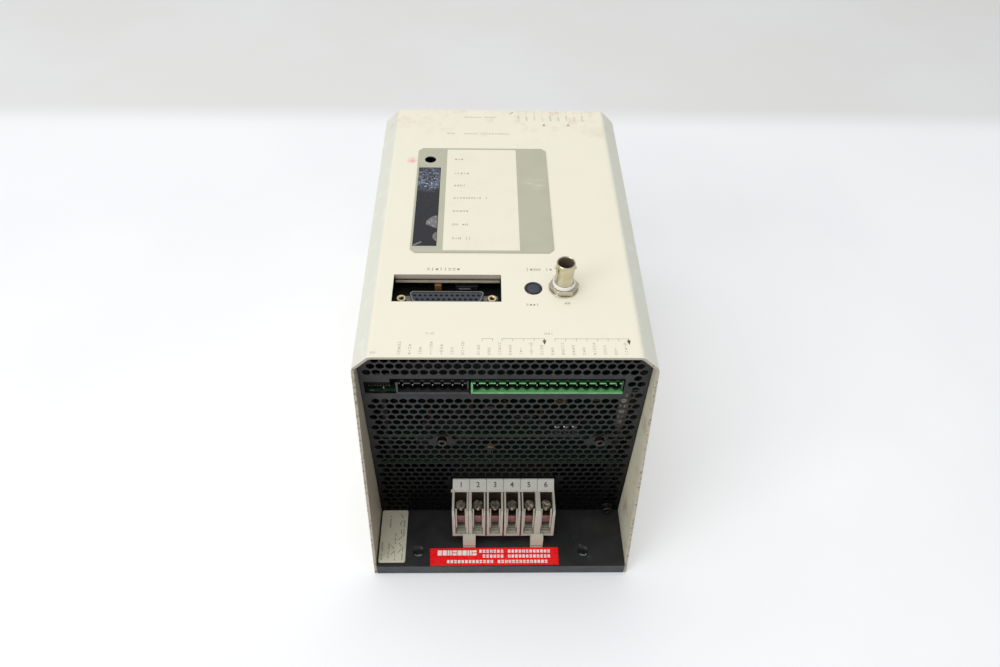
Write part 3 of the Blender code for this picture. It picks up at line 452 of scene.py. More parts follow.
def clamp_metal():
    """Tinned steel with a painted reflection of the red label in front of it on its face, painted shade low
    on the face, and painted shade on top.
    """
    # The base colour and its reddish patches are a painted reflection of the red label.
    made = Shader("clamp_metal", (192, 154, 146), 0.34, 0.85)
    made.tint((160, 112, 104), made.patches(1.6, 4, 0.4, 0.7, 0.6))
    # Painted shade: darker low on the face, and dark on top.
    made.tint((60, 40, 34), made.remap(made.axis("Z"), 21.6, 23.4, 0.75, 0.0))
    made.tint((30, 27, 24), made.above(made.facing("Z"), 0.5), 0.9)
    made.uneven(1.2, 3, 0.3, 0.5)
    made.bump(made.noise(0.6, 3), 0.2, 0.04)
    return made.material


def ink(name, colour, fade):
    """Screen print, thin in places."""
    made = Shader(name, colour, 0.5)
    made.tint(fade, made.patches(2.5, 4, 0.4, 0.7, 0.6))
    made.bump(made.noise(0.3, 2), 0.1, 0.02)
    return made.material


def floor_look():
    """A white table that ends in a soft line before a pale grey ground."""
    made = Shader("table_white", (250, 251, 253), 0.55)
    made.tint((229, 229, 227), made.remap(made.axis("Y"), 325, 372))
    made.tint((238, 240, 243), made.patches(260, 3, 0.4, 0.7, 0.35))
    made.bump(made.noise(3, 3), 0.03, 0.1)
    return made.material


# Each header's plastic: its colour, a darker copy for painted shade, and a lighter copy for painted light.
GREEN = ((36, 118, 54), (6, 34, 12), (126, 196, 130))
LOOKS = {
    "cover": cover_paint(),
    "grille": grille_paint(),
    "base": base_paint(),
    "overlay": film("overlay_grey", (184, 183, 162), (176, 175, 156)),
    "overlay_cream": film("overlay_cream", (234, 230, 210), (229, 224, 202)),
    "window": smoked_window(),
    "status": film("status_dark", (58, 61, 74), (50, 53, 64)),
    "rim": plastic("window_rim", (34, 34, 36), (44, 44, 46), 0.4),
    "nickel": metal("nickel_plate", (206, 198, 180), 0.28, 0.1, 0.4, (140, 124, 98)),
    "zinc": metal("zinc_plate", (196, 196, 190), 0.32, 0.25, 0.35, (104, 100, 92)),
    "steel": metal("tinned_steel", (206, 204, 196), 0.26, 0.25, 0.4, (98, 90, 78)),
    "screw_steel": metal("screw_steel", (200, 192, 176), 0.3, 0.3, 0.6, (84, 74, 62)),
    "black_steel": metal("black_oxide", (78, 74, 71), 0.34, 0.2, 0.3, (30, 27, 25)),
    "brass": metal("brass_plain", (236, 220, 178), 0.34, 0.2, 0.3, (176, 146, 92)),
    "gold": metal("contact_gold", (92, 76, 54), 0.45, 0.1, 0.4, (36, 28, 20)),
    "white": plastic("white_nylon", (240, 238, 230), (226, 222, 210), 0.38, 0.08),
    "black": plastic("black_nylon", (26, 26, 28), (34, 33, 33), 0.36),
    "insert": plastic("insert_blue_grey", (56, 61, 69), (47, 52, 60), 0.45, 0.08),
    "green": header_plastic("green_nylon", *GREEN, FIRST_PIN["green_header"]),
    "rear_green": header_plastic("rear_green_nylon", *GREEN, FIRST_PIN["rear_header"]),
    "header_black": header_plastic(
        "header_black", (24, 24, 26), (6, 6, 7), (58, 58, 62), FIRST_PIN["black_header"]
    ),
    "pillar": pillar_metal(),
    "beige": terminal_plastic(),
    "cheek": plastic("cheek_polyamide", (176, 166, 152), (164, 150, 138), 0.42, 0.05),
    "rib": plastic("rib_polyamide", (172, 168, 152), (150, 146, 130), 0.42, 0.05),
    "clamp": clamp_metal(),
    "marker": plastic("marker_grey", (186, 186, 176), (176, 174, 164), 0.42, 0.05),
    "brown": plastic("aged_insulator", (104, 82, 58), (84, 64, 44), 0.4, 0.1),
    "tan": plastic("amber_resin", (132, 92, 50), (104, 72, 38), 0.35, 0.1),
    "maroon": plastic("selector_maroon", (27, 20, 19), (18, 14, 13), 0.4, 0.05),
    "sleeve": plastic("capacitor_sleeve", (16, 17, 26), (12, 13, 20), 0.34, 0.02),
    "shell": metal("shell_tin", (146, 146, 138), 0.42, 0.25, 0.6, (62, 62, 54)),
    "barrel": metal("barrel_nickel", (214, 206, 182), 0.34, 0.1, 0.2, (168, 152, 120)),
    "lining": plastic("barrel_lining", (112, 96, 80), (88, 72, 58), 0.5, 0.1),
    "board": board("board_green", (16, 44, 30), (22, 60, 40), (22, 62, 42)),
    "dull_brown": plastic("dull_brown", (44, 33, 26), (32, 24, 19), 0.45, 0.05),
    "dark_board": board("board_dark", (9, 10, 10), (16, 18, 17), (14, 16, 15)),
    "ink": ink("grey_ink", (140, 138, 124), (186, 182, 164)),
    "middle_ink": ink("middle_ink", (160, 157, 140), (196, 192, 172)),
    "faint_ink": ink("faint_ink", (186, 182, 164), (206, 202, 184)),
    "dark_ink": ink("dark_ink", (62, 62, 61), (98, 96, 90)),
    "white_ink": ink("white_ink", (246, 238, 238), (238, 214, 212)),
    "red": plastic("red_vinyl", (248, 22, 26), (240, 18, 24), 0.3, 0.0),
    "paper": plastic("label_paper", (206, 202, 182), (188, 180, 158), 0.5, 0.2),
    "bracket": plastic("bracket_edge", (196, 184, 164), (170, 156, 134), 0.4, 0.1),
    # Near black that stands in for the shade in deep holes: the socket's floor, the jack bores, and the reset
    # cap and switch in their hole.
    "shade_black": plastic("painted_shade_black", (14, 14, 17), (20, 20, 24), 0.6, 0.02),
}


# ---- mesh tools


def turned(degrees, axis):
    """A turn about an axis."""
    return Matrix.Rotation(math.radians(degrees), 4, axis)


FROM_Z = {"X": turned(90, "Y"), "Y": turned(90, "X"), "Z": Matrix()}


def new_object(name, data):
    """A new object in the scene that holds this data."""
    obj = bpy.data.objects.new(name, data)
    bpy.context.scene.collection.objects.link(obj)
    return obj


def mesh_of(curve):
    """The mesh that a curve or a text makes. The curve itself is removed."""
    maker = new_object("maker", curve)
    ready = maker.evaluated_get(bpy.context.evaluated_depsgraph_get())
    mesh = bpy.data.meshes.new_from_object(ready)
    bpy.data.objects.remove(maker)
    bpy.data.curves.remove(curve)
    return mesh


class Draft:
    """A shape in millimetres that grows by boxes, rods, prisms and lathed rings, and becomes a piece."""

    def __init__(self):
        self.work = bmesh.new()

    def box(self, low, high, turn=0.0):
        """A box between two corners, turned about Z through its centre by degrees."""
        centre = (Vector(low) + Vector(high)) / 2
        stretch = Matrix.Diagonal((*(Vector(high) - Vector(low)), 1))
        place = Matrix.Translation(centre) @ turned(turn, "Z") @ stretch
        bmesh.ops.create_cube(self.work, size=1.0, matrix=place)

    def block(self, x, y, width, depth, bottom, top):
        """A box given by its middle in X and Y, its width and depth, and two heights."""
        self.box((x - width / 2, y - depth / 2, bottom), (x + width / 2, y + depth / 2, top))

    def rod(self, centre, radius, length, sides=24, axis="Z", tip=None):
        """A cylinder about its centre, or a cone where the tip's radius is given."""
        ends = {"radius1": radius, "radius2": radius if tip is None else tip}
        place = Matrix.Translation(centre) @ FROM_Z[axis]
        bmesh.ops.create_cone(self.work, cap_ends=True, segments=sides, depth=length, matrix=place, **ends)

    def prism(self, outline, low, high, axis):
        """An outline of the other two axes' coordinates, extruded between two places along one axis."""
        at = "XYZ".index(axis)
        rings = []
        for place in (low, high):
            rings.append([self.work.verts.new((*point[:at], place, *point[at:])) for point in outline])
        near, far = rings
        self.work.faces.new(near)
        self.work.faces.new(far[::-1])
        for i in range(len(outline)):
            j = (i + 1) % len(outline)
            self.work.faces.new((near[i], far[i], far[j], near[j]))

    def lathe(self, profile, centre=(0, 0, 0), steps=32, closed=True):
        """A ring turned about Z from (radius, height) points. A point on the axis closes an end."""
        cx, cy, cz = centre
        rings = []
        for radius, height in profile:
            ring = []
            for step in range(steps if radius else 1):
                angle = 2 * math.pi * step / steps
                corner = (cx + radius * math.cos(angle), cy + radius * math.sin(angle), cz + height)
                ring.append(self.work.verts.new(corner))
            rings.append(ring)
        pairs = list(zip(rings, rings[1:]))
        if closed:
            pairs.append((rings[-1], rings[0]))
        for above, below in pairs:
            if len(above) == len(below) == 1:
                continue
            for i in range(steps):
                around = ((above, i), (above, i + 1), (below, i + 1), (below, i))
                corners = dict.fromkeys(ring[k % len(ring)] for ring, k in around)
                self.work.faces.new(list(corners))

    def sheet(self, outlines, depth):
        """A flat sheet in X and Y, with every inner outline cut through, as thick as depth about Z."""
        curve = bpy.data.curves.new("sheet", "CURVE")
        curve.dimensions = "2D"
        curve.fill_mode = "BOTH"
        curve.extrude = depth / 2 * MM
        for outline in outlines:
            spline = curve.splines.new("POLY")
            spline.points.add(len(outline) - 1)
            for point, (x, y) in zip(spline.points, outline):
                point.co = (x * MM, y * MM, 0, 1)
            spline.use_cyclic_u = True
        mesh = mesh_of(curve)
        self.work.from_mesh(mesh)
        bpy.data.meshes.remove(mesh)
        bmesh.ops.remove_doubles(self.work, verts=self.work.verts, dist=1e-7)
        self.change(Matrix.Scale(1 / MM, 4))

    def change(self, matrix):
        """Moves, turns or scales all that is there."""
        bmesh.ops.transform(self.work, matrix=matrix, verts=self.work.verts)

    def piece(self, name, look, slot, body=ROOT, bevel=0.0, segments=2, smooth=None, stands_for=()):
        """Ends the draft as a named piece that rides on a body."""
        bmesh.ops.recalc_face_normals(self.work, faces=self.work.faces)
        self.change(Matrix.Scale(MM, 4))
        mesh = bpy.data.meshes.new(name)
        self.work.to_mesh(mesh)
        self.work.free()
        mesh.materials.append(LOOKS[look])
        if smooth:
            mesh.shade_smooth()
            mesh.set_sharp_from_angle(angle=math.radians(smooth))
        obj = new_object(name, mesh)
        if bevel:
            soften(obj, bevel, segments)
        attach(obj, body)
        if stands_for:
            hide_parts(*stands_for)


def soften(obj, width, segments=2):
    """Small rounded edges, in millimetres."""
    edges = obj.modifiers.new("Edges", "BEVEL")
    edges.width = width * MM
    edges.segments = segments
    edges.limit_method = "ANGLE"
    edges.angle_limit = math.radians(35)
    edges.use_clamp_overlap = True
    obj.modifiers.new("Normals", "WEIGHTED_NORMAL").keep_sharp = False


def soften_node(name, look, width=0.0, segments=2):
    """Gives a CAD node its material and, if asked, softer edges."""
    obj = nodes[name]
    if not obj.data.materials:
        obj.data.materials.append(None)
    for i in range(len(obj.data.materials)):
        obj.data.materials[i] = LOOKS[look]
    for place in obj.material_slots:
        place.material = LOOKS[look]
    if width:
        obj.modifiers.new("Weld", "WELD").merge_threshold = 1e-6
        soften(obj, width, segments)


def smooth_bends(obj):
    """Smooth shading across slight angles, such as the steps of a bend, by modifiers."""
    group = bpy.data.node_groups.new("smooth_bends", "GeometryNodeTree")
    for direction in ("INPUT", "OUTPUT"):
        group.interface.new_socket("Geometry", in_out=direction, socket_type="NodeSocketGeometry")
    start, end = (group.nodes.new("NodeGroup" + side) for side in ("Input", "Output"))
    faces, edges = (group.nodes.new("GeometryNodeSetShadeSmooth") for _ in range(2))
    faces.domain, edges.domain = "FACE", "EDGE"
    edges.inputs["Shade Smooth"].default_value = False
    angle = group.nodes.new("GeometryNodeInputMeshEdgeAngle")
    steep = group.nodes.new("ShaderNodeMath")
    steep.operation = "GREATER_THAN"
    steep.inputs[1].default_value = math.radians(20)
    group.links.new(start.outputs[0], faces.inputs["Geometry"])
    group.links.new(faces.outputs[0], edges.inputs["Geometry"])
    group.links.new(angle.outputs["Unsigned Angle"], steep.inputs[0])
    group.links.new(steep.outputs[0], edges.inputs["Selection"])
    group.links.new(edges.outputs[0], end.inputs[0])
    obj.modifiers.new("Smooth bends", "NODES").node_group = group
    obj.modifiers.new("Flat faces", "WEIGHTED_NORMAL").keep_sharp = True


def circle(x, y, radius, sides):
    """The corners of a round outline."""
    turns = [2 * math.pi * i / sides for i in range(sides)]
    return [(x + radius * math.cos(turn), y + radius * math.sin(turn)) for turn in turns]


def chamfered(x0, x1, y0, y1, corner):
    """A rectangle with its corners cut off, from the near left one round."""
    return [
        (x0 + corner, y0), (x1 - corner, y0), (x1, y0 + corner), (x1, y1 - corner),
        (x1 - corner, y1), (x0 + corner, y1), (x0, y1 - corner), (x0, y0 + corner),
    ]


# ---- grilles

# The punched lattice: its pitches, its first hole, and where it ends inside the cover.
HOLE_PITCH, ROW_PITCH = 4.767, 4.66
FIRST_COLUMN, FIRST_ROW = -56.98, 156.355
HOLE_RADIUS = 2.14
LATTICE_HALF, LATTICE_BOTTOM, LATTICE_TOP = 70.9, 10.9, 155.4
LATTICE_CORNER = 220.2
KEEP_CLEAR = 2.5
BEVEL_CUT = 7.9


def hole_places(windows, plain_spots):
    """Where a sheet is punched: a staggered lattice, left plain round each window and screw."""
    places = []
    grown = [
        (x0 - KEEP_CLEAR, x1 + KEEP_CLEAR, z0 - KEEP_CLEAR, z1 + KEEP_CLEAR) for x0, x1, z0, z1 in windows
    ]
    for row in range(1, 32):
        z = FIRST_ROW - ROW_PITCH * row
        for column in range(-4, 29):
            x = FIRST_COLUMN + HOLE_PITCH * (column + (0.5 if row % 2 else 0.0))
            if abs(x) > LATTICE_HALF or not LATTICE_BOTTOM <= z <= LATTICE_TOP or abs(x) + z > LATTICE_CORNER:
                continue
            if any(x0 < x < x1 and z0 < z < z1 for x0, x1, z0, z1 in grown):
                continue
            if any(math.hypot(x - sx, z - sz) < gap for sx, sz, gap in plain_spots):
                continue
            places.append((x, z))
    return places


def make_grille(node, name, slot, windows, plain_spots=(), notch=(), sides=12):
    """A vented sheet inside the cover, with its header slot, its holes and a notch in its foot."""
    low, high = box_mm(node)
    half, top = high.x, high.z
    edge = [(-half, low.z), (-half, top - BEVEL_CUT), (-half + BEVEL_CUT, top)]
    edge += [(half - BEVEL_CUT, top), (half, top - BEVEL_CUT), (half, low.z)]
    if notch:
        left, right, notch_top = notch
        edge += [(right, low.z), (right, notch_top), (left, notch_top), (left, low.z)]
    holes = [circle(x, z, HOLE_RADIUS, sides) for x, z in hole_places(windows, plain_spots)]
    sheet = Draft()
    sheet.sheet([edge, slot, *holes], high.y - low.y)
    sheet.change(Matrix.Translation((0, middle(node).y, 0)) @ turned(90, "X"))
    sheet.piece(name, "grille", "black_paint", stands_for=[node])


def make_grilles():
    left, step, end = -71.2, -58, box_mm("green_header")[1].x + 0.35
    step_top = 134.8
    slot = [(left, SLOT_BOTTOM), (end, SLOT_BOTTOM), (end, SLOT_TOP)]
    slot += [(step, SLOT_TOP), (step, step_top), (left, step_top)]
    notch = notch_left, notch_right, notch_top = -29.4, 31.8, 46.9
    windows = [(-73, 61.3, SLOT_BOTTOM, SLOT_TOP), (notch_left, notch_right, 0, notch_top - 0.3)]
    plain_spots = [(-33.3, 84.1, 6.6), (53.1, 84.1, 6.6), (65.4, 12.6, 4.6)]
    make_grille("front_grille", "vented_front", slot, windows, plain_spots, notch, sides=18)
    first, last = box_mm("rear_header")
    x0, x1 = first.x - 2, last.x + 2
    slot = [(x0, SLOT_BOTTOM), (x1, SLOT_BOTTOM), (x1, SLOT_TOP), (x0, SLOT_TOP)]
    make_grille("rear_grille", "vented_rear", slot, [(x0, x1, SLOT_BOTTOM, SLOT_TOP)])


# ---- printed face

# How far print stands off a surface, a tick's width, and stand-in characters as strokes (x0, x1, y0, y1).
INK_FOOT, INK_TOP = 0.015, 0.06
TICK = 0.16
GLYPHS = (
    ((0, 0.2, 0, 0.9), (0.5, 0.7, 0, 0.9)),
    ((0.05, 0.72, 0.34, 0.56),),
    ((0.05, 0.7, 0.08, 0.27), (0.05, 0.7, 0.62, 0.81)),
    ((0.08, 0.66, 0.1, 0.72),),
    ((0.2, 0.48, 0, 0.3), (0.2, 0.48, 0.6, 0.9)),
    ((0, 0.7, 0, 0.92),),
    ((0, 0.3, 0, 0.92), (0.42, 0.72, 0, 0.92)),
    ((0, 0.7, 0, 0.38), (0, 0.7, 0.54, 0.92)),
)
LOOSE = (0, 0, 1, 2, 3, 3, 4)
SOLID = (5, 5, 6, 7)
ALONG_Y = (0, 1)


def mark(draft, x0, x1, y0, y1, z=FACE):
    """A printed rectangle on a face at height z."""
    draft.box((min(x0, x1), min(y0, y1), z + INK_FOOT), (max(x0, x1), max(y0, y1), z + INK_TOP))


def triangle(draft, corners):
    draft.prism(corners, FACE + INK_FOOT, FACE + INK_TOP, "Z")


def glyph(draft, x, y, size, kind, across=(1, 0), z=FACE):
    """One stand-in character: loose strokes and dots that spell nothing. Across is the way the words run."""
    dx, dy = across
    for a0, a1, b0, b1 in GLYPHS[kind]:
        x0, y0 = x + size * (a0 * dx - b0 * dy), y + size * (a0 * dy + b0 * dx)
        x1, y1 = x + size * (a1 * dx - b1 * dy), y + size * (a1 * dy + b1 * dx)
        mark(draft, x0, x1, y0, y1, z)


def words(draft, x, y, length, size, rng, across=(1, 0), z=FACE, space=None, kinds=LOOSE):
    """A line of stand-in lettering of about this length, from its starting corner."""
    step = size * 1.02
    for i in range(max(1, int(length / step))):
        if i != space:
            run = i * step
            glyph(draft, x + across[0] * run, y + across[1] * run, size, rng.choice(kinds), across, z)


def make_face_print():
    rng = random.Random(11)
    dark = Draft()
    for x, y, length, size, space in (
        (-40.7, -46.3, 20.0, 2.2, None), (11.5, -46.2, 15.0, 2.0, 4),
        (10.7, -72.0, 8.6, 1.7, None), (30.4, -70.9, 3.4, 1.5, None),
    ):
        words(dark, x, y, length, size, rng, space=space)
    top = -94.3
    for x0, x1, ticks in ((-11.6, -6.5, 2), (-1.9, 18.9, 5), (23.9, 60.1, 8)):
        mark(dark, x0, x1, top - TICK, top)
        for i in range(ticks):
            x = x0 + (x1 - x0) * i / (ticks - 1)
            mark(dark, x - TICK / 2, x + TICK / 2, top - 1.8, top)
    for x in (27.75, 43.3):
        triangle(dark, [(x - 0.9, 88.8), (x + 0.9, 88.8), (x, 91.4)])
    dark.piece("face_print", "ink", "cream_paint")

    faint = Draft()
    for x, y, length, size, space in (
        (-39.3, -91.7, 5.0, 1.5, None), (19.0, -91.7, 4.8, 1.5, None), (-23.4, 97.6, 21.5, 1.4, 8),
        (-33.9, 78.9, 6.4, 1.7, None), (-23.2, 78.8, 30.4, 1.7, 5),
    ):
        words(faint, x, y, length, size, rng, space=space)
    for i in range(7):
        words(faint, -50.6 + HEADER_PITCH * i, -104.6, 9.4 - 1.5 * (i % 3), 1.7, rng, ALONG_Y)
    for i in range(15):
        words(faint, -12.6 + HEADER_PITCH * i, -104.6, 8.4 - 1.5 * ((i + 1) % 3), 1.6, rng, ALONG_Y)
    words(faint, -65.0, -104.0, 4.0, 1.4, rng)
    for i in range(9):
        x = 11.7 + 5.16 * i
        words(faint, x + 0.5, 94.6, 7.2 - 1.2 * (i % 2), 1.3, rng, ALONG_Y)
        mark(faint, x - 0.1, x + 0.1, 102.6, 105.3)
    faint.piece("face_words", "faint_ink", "cream_paint")

    arrows = Draft()
    tip = top - 4.0
    for x in (18.7, 59.8):
        mark(arrows, x - 0.12, x + 0.12, top, tip + 2.7)
        triangle(arrows, [(x - 1.0, tip + 2.9), (x + 1.0, tip + 2.9), (x, tip)])
    arrows.piece("face_arrows", "dark_ink", "cream_paint")


def make_overlay():
    soften_node("face_overlay", "overlay", 0.12, 1)
    low, high = box_mm("face_overlay")
    top = high.z
    field = Draft()
    field.box((-33.0, low.y + 1.7, top + 0.01), (8.8, high.y - 1.7, top + 0.05))
    field.piece("overlay_field", "overlay_cream", "overlay_film")
    rng = random.Random(5)
    names = Draft()
    for y, length, space in (
        (51.5, 6.2, None), (37.4, 12, 5), (25.7, 8.4, None), (14.0, 20.5, 9),
        (2.2, 12.6, 5), (-9.5, 10.4, 2), (-21.2, 12.4, 3),
    ):
        words(names, -28.3, y - 0.9, length, 1.8, rng, z=top + 0.045, space=space)
    names.piece("overlay_words", "middle_ink", "overlay_film")
    soften_node("led_window", "window", 0.1, 2)


# ---- sockets, button and windows


def lathed(name, look, slot, profile, centre, steps=48, closed=True, smooth=40, **how):
    """A piece made of one lathed ring or, where its profile isn't closed, of one turned solid."""
    draft = Draft()
    draft.lathe(profile, centre, steps, closed)
    draft.piece(name, look, slot, smooth=smooth, **how)


def make_status_window():
    low, high = box_mm("status_window")
    x, y, _ = middle("status_window")
    centre = (x, y, high.z)
    radius = (high.x - low.x) / 2
    rim = [(radius - 1.05, -0.28), (radius - 0.95, -0.02), (radius - 0.7, 0.12), (radius - 0.2, 0.08)]
    rim += [(radius, -0.15), (radius, -1.8), (radius - 1.05, -1.8)]
    lathed("status_rim", "rim", "dark_window", rim, centre)
    edge = radius - 1.15
    lens = [(0, -0.1), (radius * 0.5, -0.14), (edge, -0.26), (edge, -1.6), (0, -1.6)]
    lathed("status_lens", "status", "dark_window", lens, centre, closed=False, stands_for=["status_window"])


def make_bnc():
    """The coaxial bayonet socket, with its heights taken from the cover's face."""
    x, y, _ = middle("bnc_ring")
    centre = (x, y, FACE)
    mouth = box_mm("bnc_body")[1].z - FACE
    outer, bore, neck = 4.8, 4.1, 4.52
    barrel = [(bore, mouth - 0.35), (bore + 0.25, mouth), (outer - 0.25, mouth), (outer, mouth - 0.3)]
    barrel += [(outer, mouth - 6.0), (neck, mouth - 6.5), (neck, 6.6), (outer, 6.2)]
    barrel += [(outer, -9), (1.9, -9), (1.9, 4.5), (bore, 4.5)]
    lathed("bnc_barrel", "barrel", "nickel", barrel, centre, smooth=35, stands_for=["bnc_body"])
    lining = [(4.09, mouth - 0.9), (4.09, 4.6), (3.95, 4.6), (3.95, mouth - 0.9)]
    lathed("bnc_lining", "lining", "nickel", lining, centre, smooth=35)
    lugs = Draft()
    for side in (-1, 1):
        lugs.rod((x + side * 5.05, y, FACE + mouth - 3.6), 0.85, 1.0, 20, "X")
    lugs.piece("bnc_lug_pair", "barrel", "nickel", bevel=0.18, smooth=40)
    insulator = Draft()
    insulator.lathe([(0.55, 12.2), (1.4, 12.4), (2.3, 12.2), (2.3, 4.8), (0.55, 4.8)], centre)
    insulator.lathe([(2.4, 5.2), (3.85, 5.2), (3.85, 4.6), (2.4, 4.6)], centre)
    insulator.rod((x, y, FACE - 3.6), 1.6, 15, 20)
    insulator.piece("bnc_dielectric", "brown", "white_plastic", smooth=40, stands_for=["bnc_insulator"])
    contact = [(0.25, 12.6), (0.5, 12.6), (0.5, 5), (0.25, 5)]
    lathed("bnc_contact", "gold", "brass", contact, centre, 20)
    collar = [(4.95, 4.9), (5.2, 5.2), (5.55, 5.1), (5.85, 4.6), (5.9, 3.3), (4.95, 3.3)]
    lathed("bnc_collar", "white", "white_plastic", collar, centre, stands_for=["bnc_ring"])
    low, high = (corner.z - FACE for corner in box_mm("bnc_nut"))
    nut = [(5.0, high), (7.9, high), (7.9, low), (5.0, low)]
    how = {"bevel": 0.4, "segments": 3, "smooth": None}
    lathed("bnc_hex_nut", "nickel", "nickel", nut, centre, 6, stands_for=["bnc_nut"], **how)
    low, high = (corner.z - FACE for corner in box_mm("bnc_washer"))
    washer = [(4.95, high), (7.45, high), (7.6, high - 0.15), (7.6, low), (4.95, low)]
    lathed("bnc_flat_washer", "nickel", "nickel", washer, centre, stands_for=["bnc_washer"])


def make_programmer_socket():
    soften_node("programmer_socket_shell", "shell")
    low, high = box_mm("programmer_socket_insert")
    x, y, _ = middle("programmer_socket_insert")
    pitch, half_row = 2.77, 1.42
    holes = []
    for side, count in ((1, 13), (-1, 12)):
        for i in range(count):
            holes.append((x + (i - (count - 1) / 2) * pitch, y + side * half_row))
    half_x, half_y = (high.x - low.x) / 2, (high.y - low.y) / 2
    slope, corner = 1.4, 1.1
    right_half = [
        (half_x - slope - corner, -half_y), (half_x - slope, corner - half_y),
        (half_x, half_y - corner), (half_x - corner, half_y),
    ]
    outline = [(x - px, y + py) for px, py in right_half[::-1]] + [(x + px, y + py) for px, py in right_half]
    face = Draft()
    face.sheet([outline] + [circle(hx, hy, 0.98, 16) for hx, hy in holes], 3.0)
    face.change(Matrix.Translation((0, 0, high.z - 1.5)))
    face.piece("socket_face", "insert", "blue_grey_plastic", stands_for=["programmer_socket_insert"])
    # The floor under the holes is painted shade: near black.
    floor = Draft()
    floor.prism(outline, low.z, high.z - 3.05, "Z")
    floor.piece("socket_floor", "shade_black", "blue_grey_plastic")
    contacts = Draft()
    for hx, hy in holes:
        contacts.lathe([(0.45, -1.6), (0.75, -1.6), (0.75, -2.9), (0.45, -2.9)], (hx, hy, high.z), 14)
    contacts.piece("socket_contacts", "gold", "brass", smooth=40)
    for side in ("left", "right"):
        node = "jack_screw_" + side
        low, high = box_mm(node)
        centre = (*middle(node).xy, high.z)
        foot = low.z - high.z
        post = [(1.15, -0.4), (1.5, 0), (2.25, 0), (2.5, -0.3), (2.5, foot + 1.2), (1.45, foot + 1.2)]
        post += [(1.45, foot), (0, foot), (0, -3.4), (1.15, -3.4)]
        lathed("jack_post_" + side, "brass", "brass", post, centre, 32, stands_for=[node])
        # The bores are painted shade: near black.
        bore = Draft()
        bore.lathe([(0, -1.6), (1.12, -1.6), (1.12, -3.3), (0, -3.3)], centre, 20, closed=False)
        bore.piece("jack_bore_" + side, "shade_black", "brass")


def make_opening_parts():
    """What shows through the programmer opening: a bracket's edge, and parts on the face board."""
    top = box_mm("face_board")[1].z
    bracket = Draft()
    bracket.box((-57.2, -49.5, 154.0), (-2.2, -48.6, 155.3))
    bracket.piece("bracket_edge", "bracket", "zinc", bevel=0.12)
    chip = Draft()
    chip.box((-25.7, -50.0, top + 0.4), (-13.9, -44.0, top + 3.4))
    for i in range(5):
        x = -24.9 + 2.54 * i
        chip.box((x - 0.2, -51.0, top + 0.1), (x + 0.2, -49.9, top + 1.6))
    chip.piece("face_chip", "black", "black_plastic", bevel=0.25)
    glint = Draft()
    glint.box((-24.0, -50.6, top + 1.7), (-17.6, -50.1, top + 2.0))
    glint.piece("face_chip_glint", "zinc", "zinc", bevel=0.08)
    capacitor = Draft()
    capacitor.box((-36.8, -50.6, top + 0.2), (-33.0, -46.0, top + 4.6))
    capacitor.piece("face_capacitor", "tan", "black_plastic", bevel=0.7, segments=3)


def make_reset():
    """The dark reset cap, a little dished, over its switch. Both are near black, partly their own colour and
    partly painted shade in the hole.
    """
    low, high = box_mm("reset_button")
    x, y, _ = middle("reset_button")
    foot = low.z - high.z
    cap = [(0, -0.25), (1.5, -0.2), (2.3, 0), (2.8, -0.45), (2.8, -2.0), (1.6, -2.0), (1.6, foot), (0, foot)]
    how = {"body": "reset_plunger", "stands_for": ["reset_button"]}
    lathed("reset_cap", "shade_black", "white_plastic", cap, (x, y, high.z), 32, closed=False, **how)
    soften_node("reset_switch_body", "shade_black", 0.2)


# ---- headers and selector


def make_header(node, ways, inward, look, slot):
    """A pluggable header: a hollow housing with notched lips, coding ribs, and separate square pins."""
    low, high = box_mm(node)
    front = low.y if inward > 0 else high.y
    depth = high.y - low.y
    wall, gap = 1.1, 0.01
    half_lip, half_rib, half_pin = 1.72, 0.45, 0.5
    pin_low, pin_high = 129.6, 130.6
    left, right, floor = low.x + wall + gap, high.x - wall - gap, low.z + wall
    pins = [FIRST_PIN[node] + i * HEADER_PITCH for i in range(ways)]
    housing = Draft()

    def slab(draft, x0, x1, d0, d1, z0, z1):
        """A box between two depths behind the header's front."""
        y0, y1 = sorted((front + inward * d0, front + inward * d1))
        draft.box((x0, y0, z0), (x1, y1, z1))

    slab(housing, low.x, high.x, 0, depth, low.z, floor)
    slab(housing, low.x, low.x + wall, 0, depth, floor + gap, high.z)
    slab(housing, high.x - wall, high.x, 1.2, depth, floor + gap, high.z)
    slab(housing, left, right, depth - 2.2, depth, floor + gap, high.z)
    slab(housing, left, right, 1.7, depth - 2.21, high.z - wall, high.z)
    for i in range(ways + 1):
        between = FIRST_PIN[node] + (i - 0.5) * HEADER_PITCH
        x0, x1 = max(between - half_lip, left), min(between + half_lip, right)
        slab(housing, x0, x1, 0, 1.69, high.z - wall, high.z)
    for x in pins:
        slab(housing, x - half_rib, x + half_rib, 2.4, depth - 2.21, floor + gap / 2, floor + 0.7)
    housing.piece(node + "_housing", look, slot, bevel=0.16, stands_for=[node])
    square = Draft()
    for x in pins:
        slab(square, x - half_pin, x + half_pin, 2.1, depth - 1, pin_low, pin_high)
    square.piece(node + "_pins", "steel", "zinc", bevel=0.32, segments=1)


